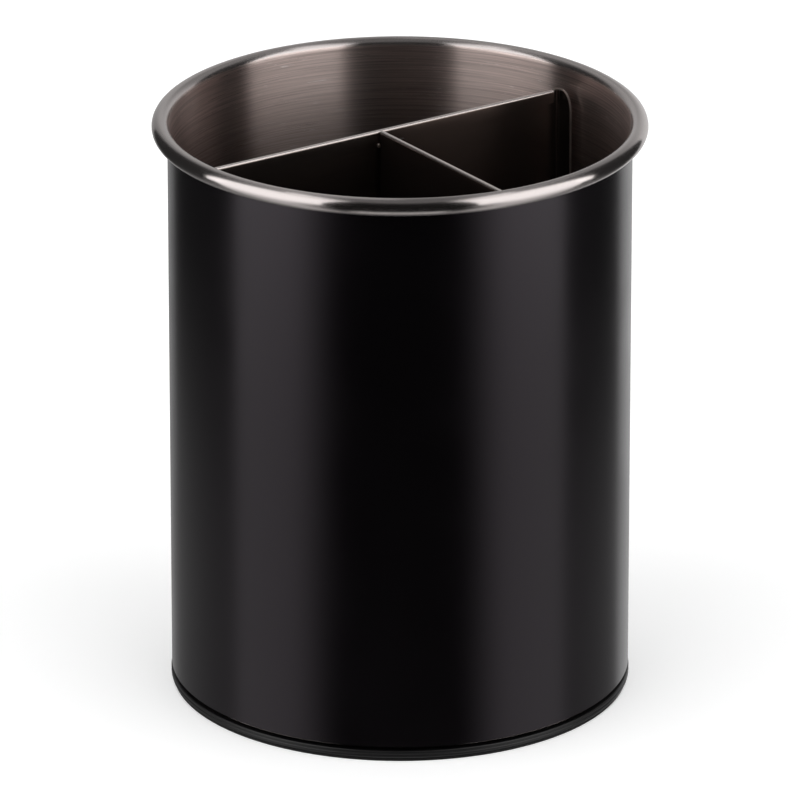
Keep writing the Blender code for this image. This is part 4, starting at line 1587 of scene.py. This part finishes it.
    def add_world(self) -> None:
        """Make the world white to the rays that see it, and a plain fill light to the rest."""
        world = bpy.data.worlds.new("studio")
        bpy.context.scene.world = world
        world.use_nodes = True
        tree = world.node_tree
        tree.nodes.clear()
        background = add_node(tree, "ShaderNodeBackground", [WHITE, self.seen(tree, self.fill_light, 1.0)])
        add_node(tree, "ShaderNodeOutputWorld", [background])

    def add_floor(self) -> None:
        """Lay the pale floor. It lifts itself to white where it is lit, and keeps the holder's shadow."""
        sheet = bmesh.new()
        bmesh.ops.create_grid(sheet, x_segments=1, y_segments=1, size=self.floor_size / 2)
        mesh = bpy.data.meshes.new("paper_floor")
        sheet.to_mesh(mesh)
        sheet.free()
        material, tree = new_material("white_paper")
        fill(tree, tree.nodes["Principled BSDF"], {
            "Base Color": linear(self.floor_colour),
            "Roughness": self.floor_roughness,
            "Emission Color": WHITE,
            "Emission Strength": self.seen(tree, 0.0, self.floor_lift),
        })
        mesh.materials.append(material)
        floor = new_object("paper_floor", mesh)
        # The photograph's coat reflects no floor, so the paper stays out of reflections
        floor.visible_glossy = False

    def add_lamps(self) -> None:
        """Hang three broad lamps: one over the holder and one on each side of the camera."""
        turns = ((0.0, 0.0), (self.lamp_tilt, -self.lamp_side), (self.lamp_tilt, self.lamp_side))
        for number, ((tilt, side), strength) in enumerate(zip(turns, self.lamp_strengths)):
            lamp = bpy.data.lights.new("lamp_" + str(number + 1), "SUN")
            lamp.energy = strength
            lamp.angle = math.radians(self.lamp_width)
            place = new_object(lamp.name, lamp)
            place.rotation_euler = (math.radians(tilt), 0.0, math.radians(self.azimuth + side))
            place.visible_glossy = False

    def build(self) -> None:
        """Set the studio up."""
        self.add_floor()
        self.add_world()
        for panel in self.panels():
            self.add_curved(panel)
        self.add_level("lid", self.lid_height, self.lid)
        self.add_level("table", self.screen_foot, self.table)
        self.add_lamps()
        bpy.context.scene.view_settings.view_transform = "Standard"


@dataclass
class PhotoCamera:
    """The photograph's camera: a long lens that looks down on the holder from the front left."""

    azimuth: float = -34.2
    elevation: float = 21.42
    distance: float = 3.15
    aim_height: float = 0.0957
    lens_mm: float = 435.25
    sensor_mm: float = 36.0
    nearest_share: float = 0.01
    furthest_share: float = 10.0

    def build(self) -> None:
        """Set the camera up."""
        camera = bpy.data.cameras.new("photo_camera")
        camera.lens = self.lens_mm
        camera.sensor_width = self.sensor_mm
        camera.clip_start = self.distance * self.nearest_share
        camera.clip_end = self.distance * self.furthest_share
        side, rise = math.radians(self.azimuth), math.radians(self.elevation)
        back = Vector((math.sin(side) * math.cos(rise), -math.cos(side) * math.cos(rise), math.sin(rise)))
        place = new_object("photo_camera", camera)
        place.location = Vector((0.0, 0.0, self.aim_height)) + back * self.distance
        place.rotation_mode = "QUATERNION"
        place.rotation_quaternion = (-back).to_track_quat("-Z", "Y")
        bpy.context.scene.camera = place


def write_sizes() -> None:
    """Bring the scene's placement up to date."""
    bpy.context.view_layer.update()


def main() -> None:
    """Build the holder's looks in order, and report how many packed nodes are dressed."""
    logging.basicConfig(level=logging.INFO, format="%(message)s")
    camera = PhotoCamera()
    camera.build()
    Studio(camera.azimuth).build()
    lathe, ring = Lathe(), Ring()
    round_parts = (StandingBase(lathe), Bearing(lathe, ring), Pivot(lathe), FloorStuds(lathe, ring))
    for part in (CanisterWall(lathe), CanisterFloor(lathe), DividerInsert(), *round_parts):
        for piece in part.build():
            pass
    log.info("packed nodes dressed as they are: %d", CarriedParts().dress())
    write_sizes()


if __name__ == "__main__":
    main()
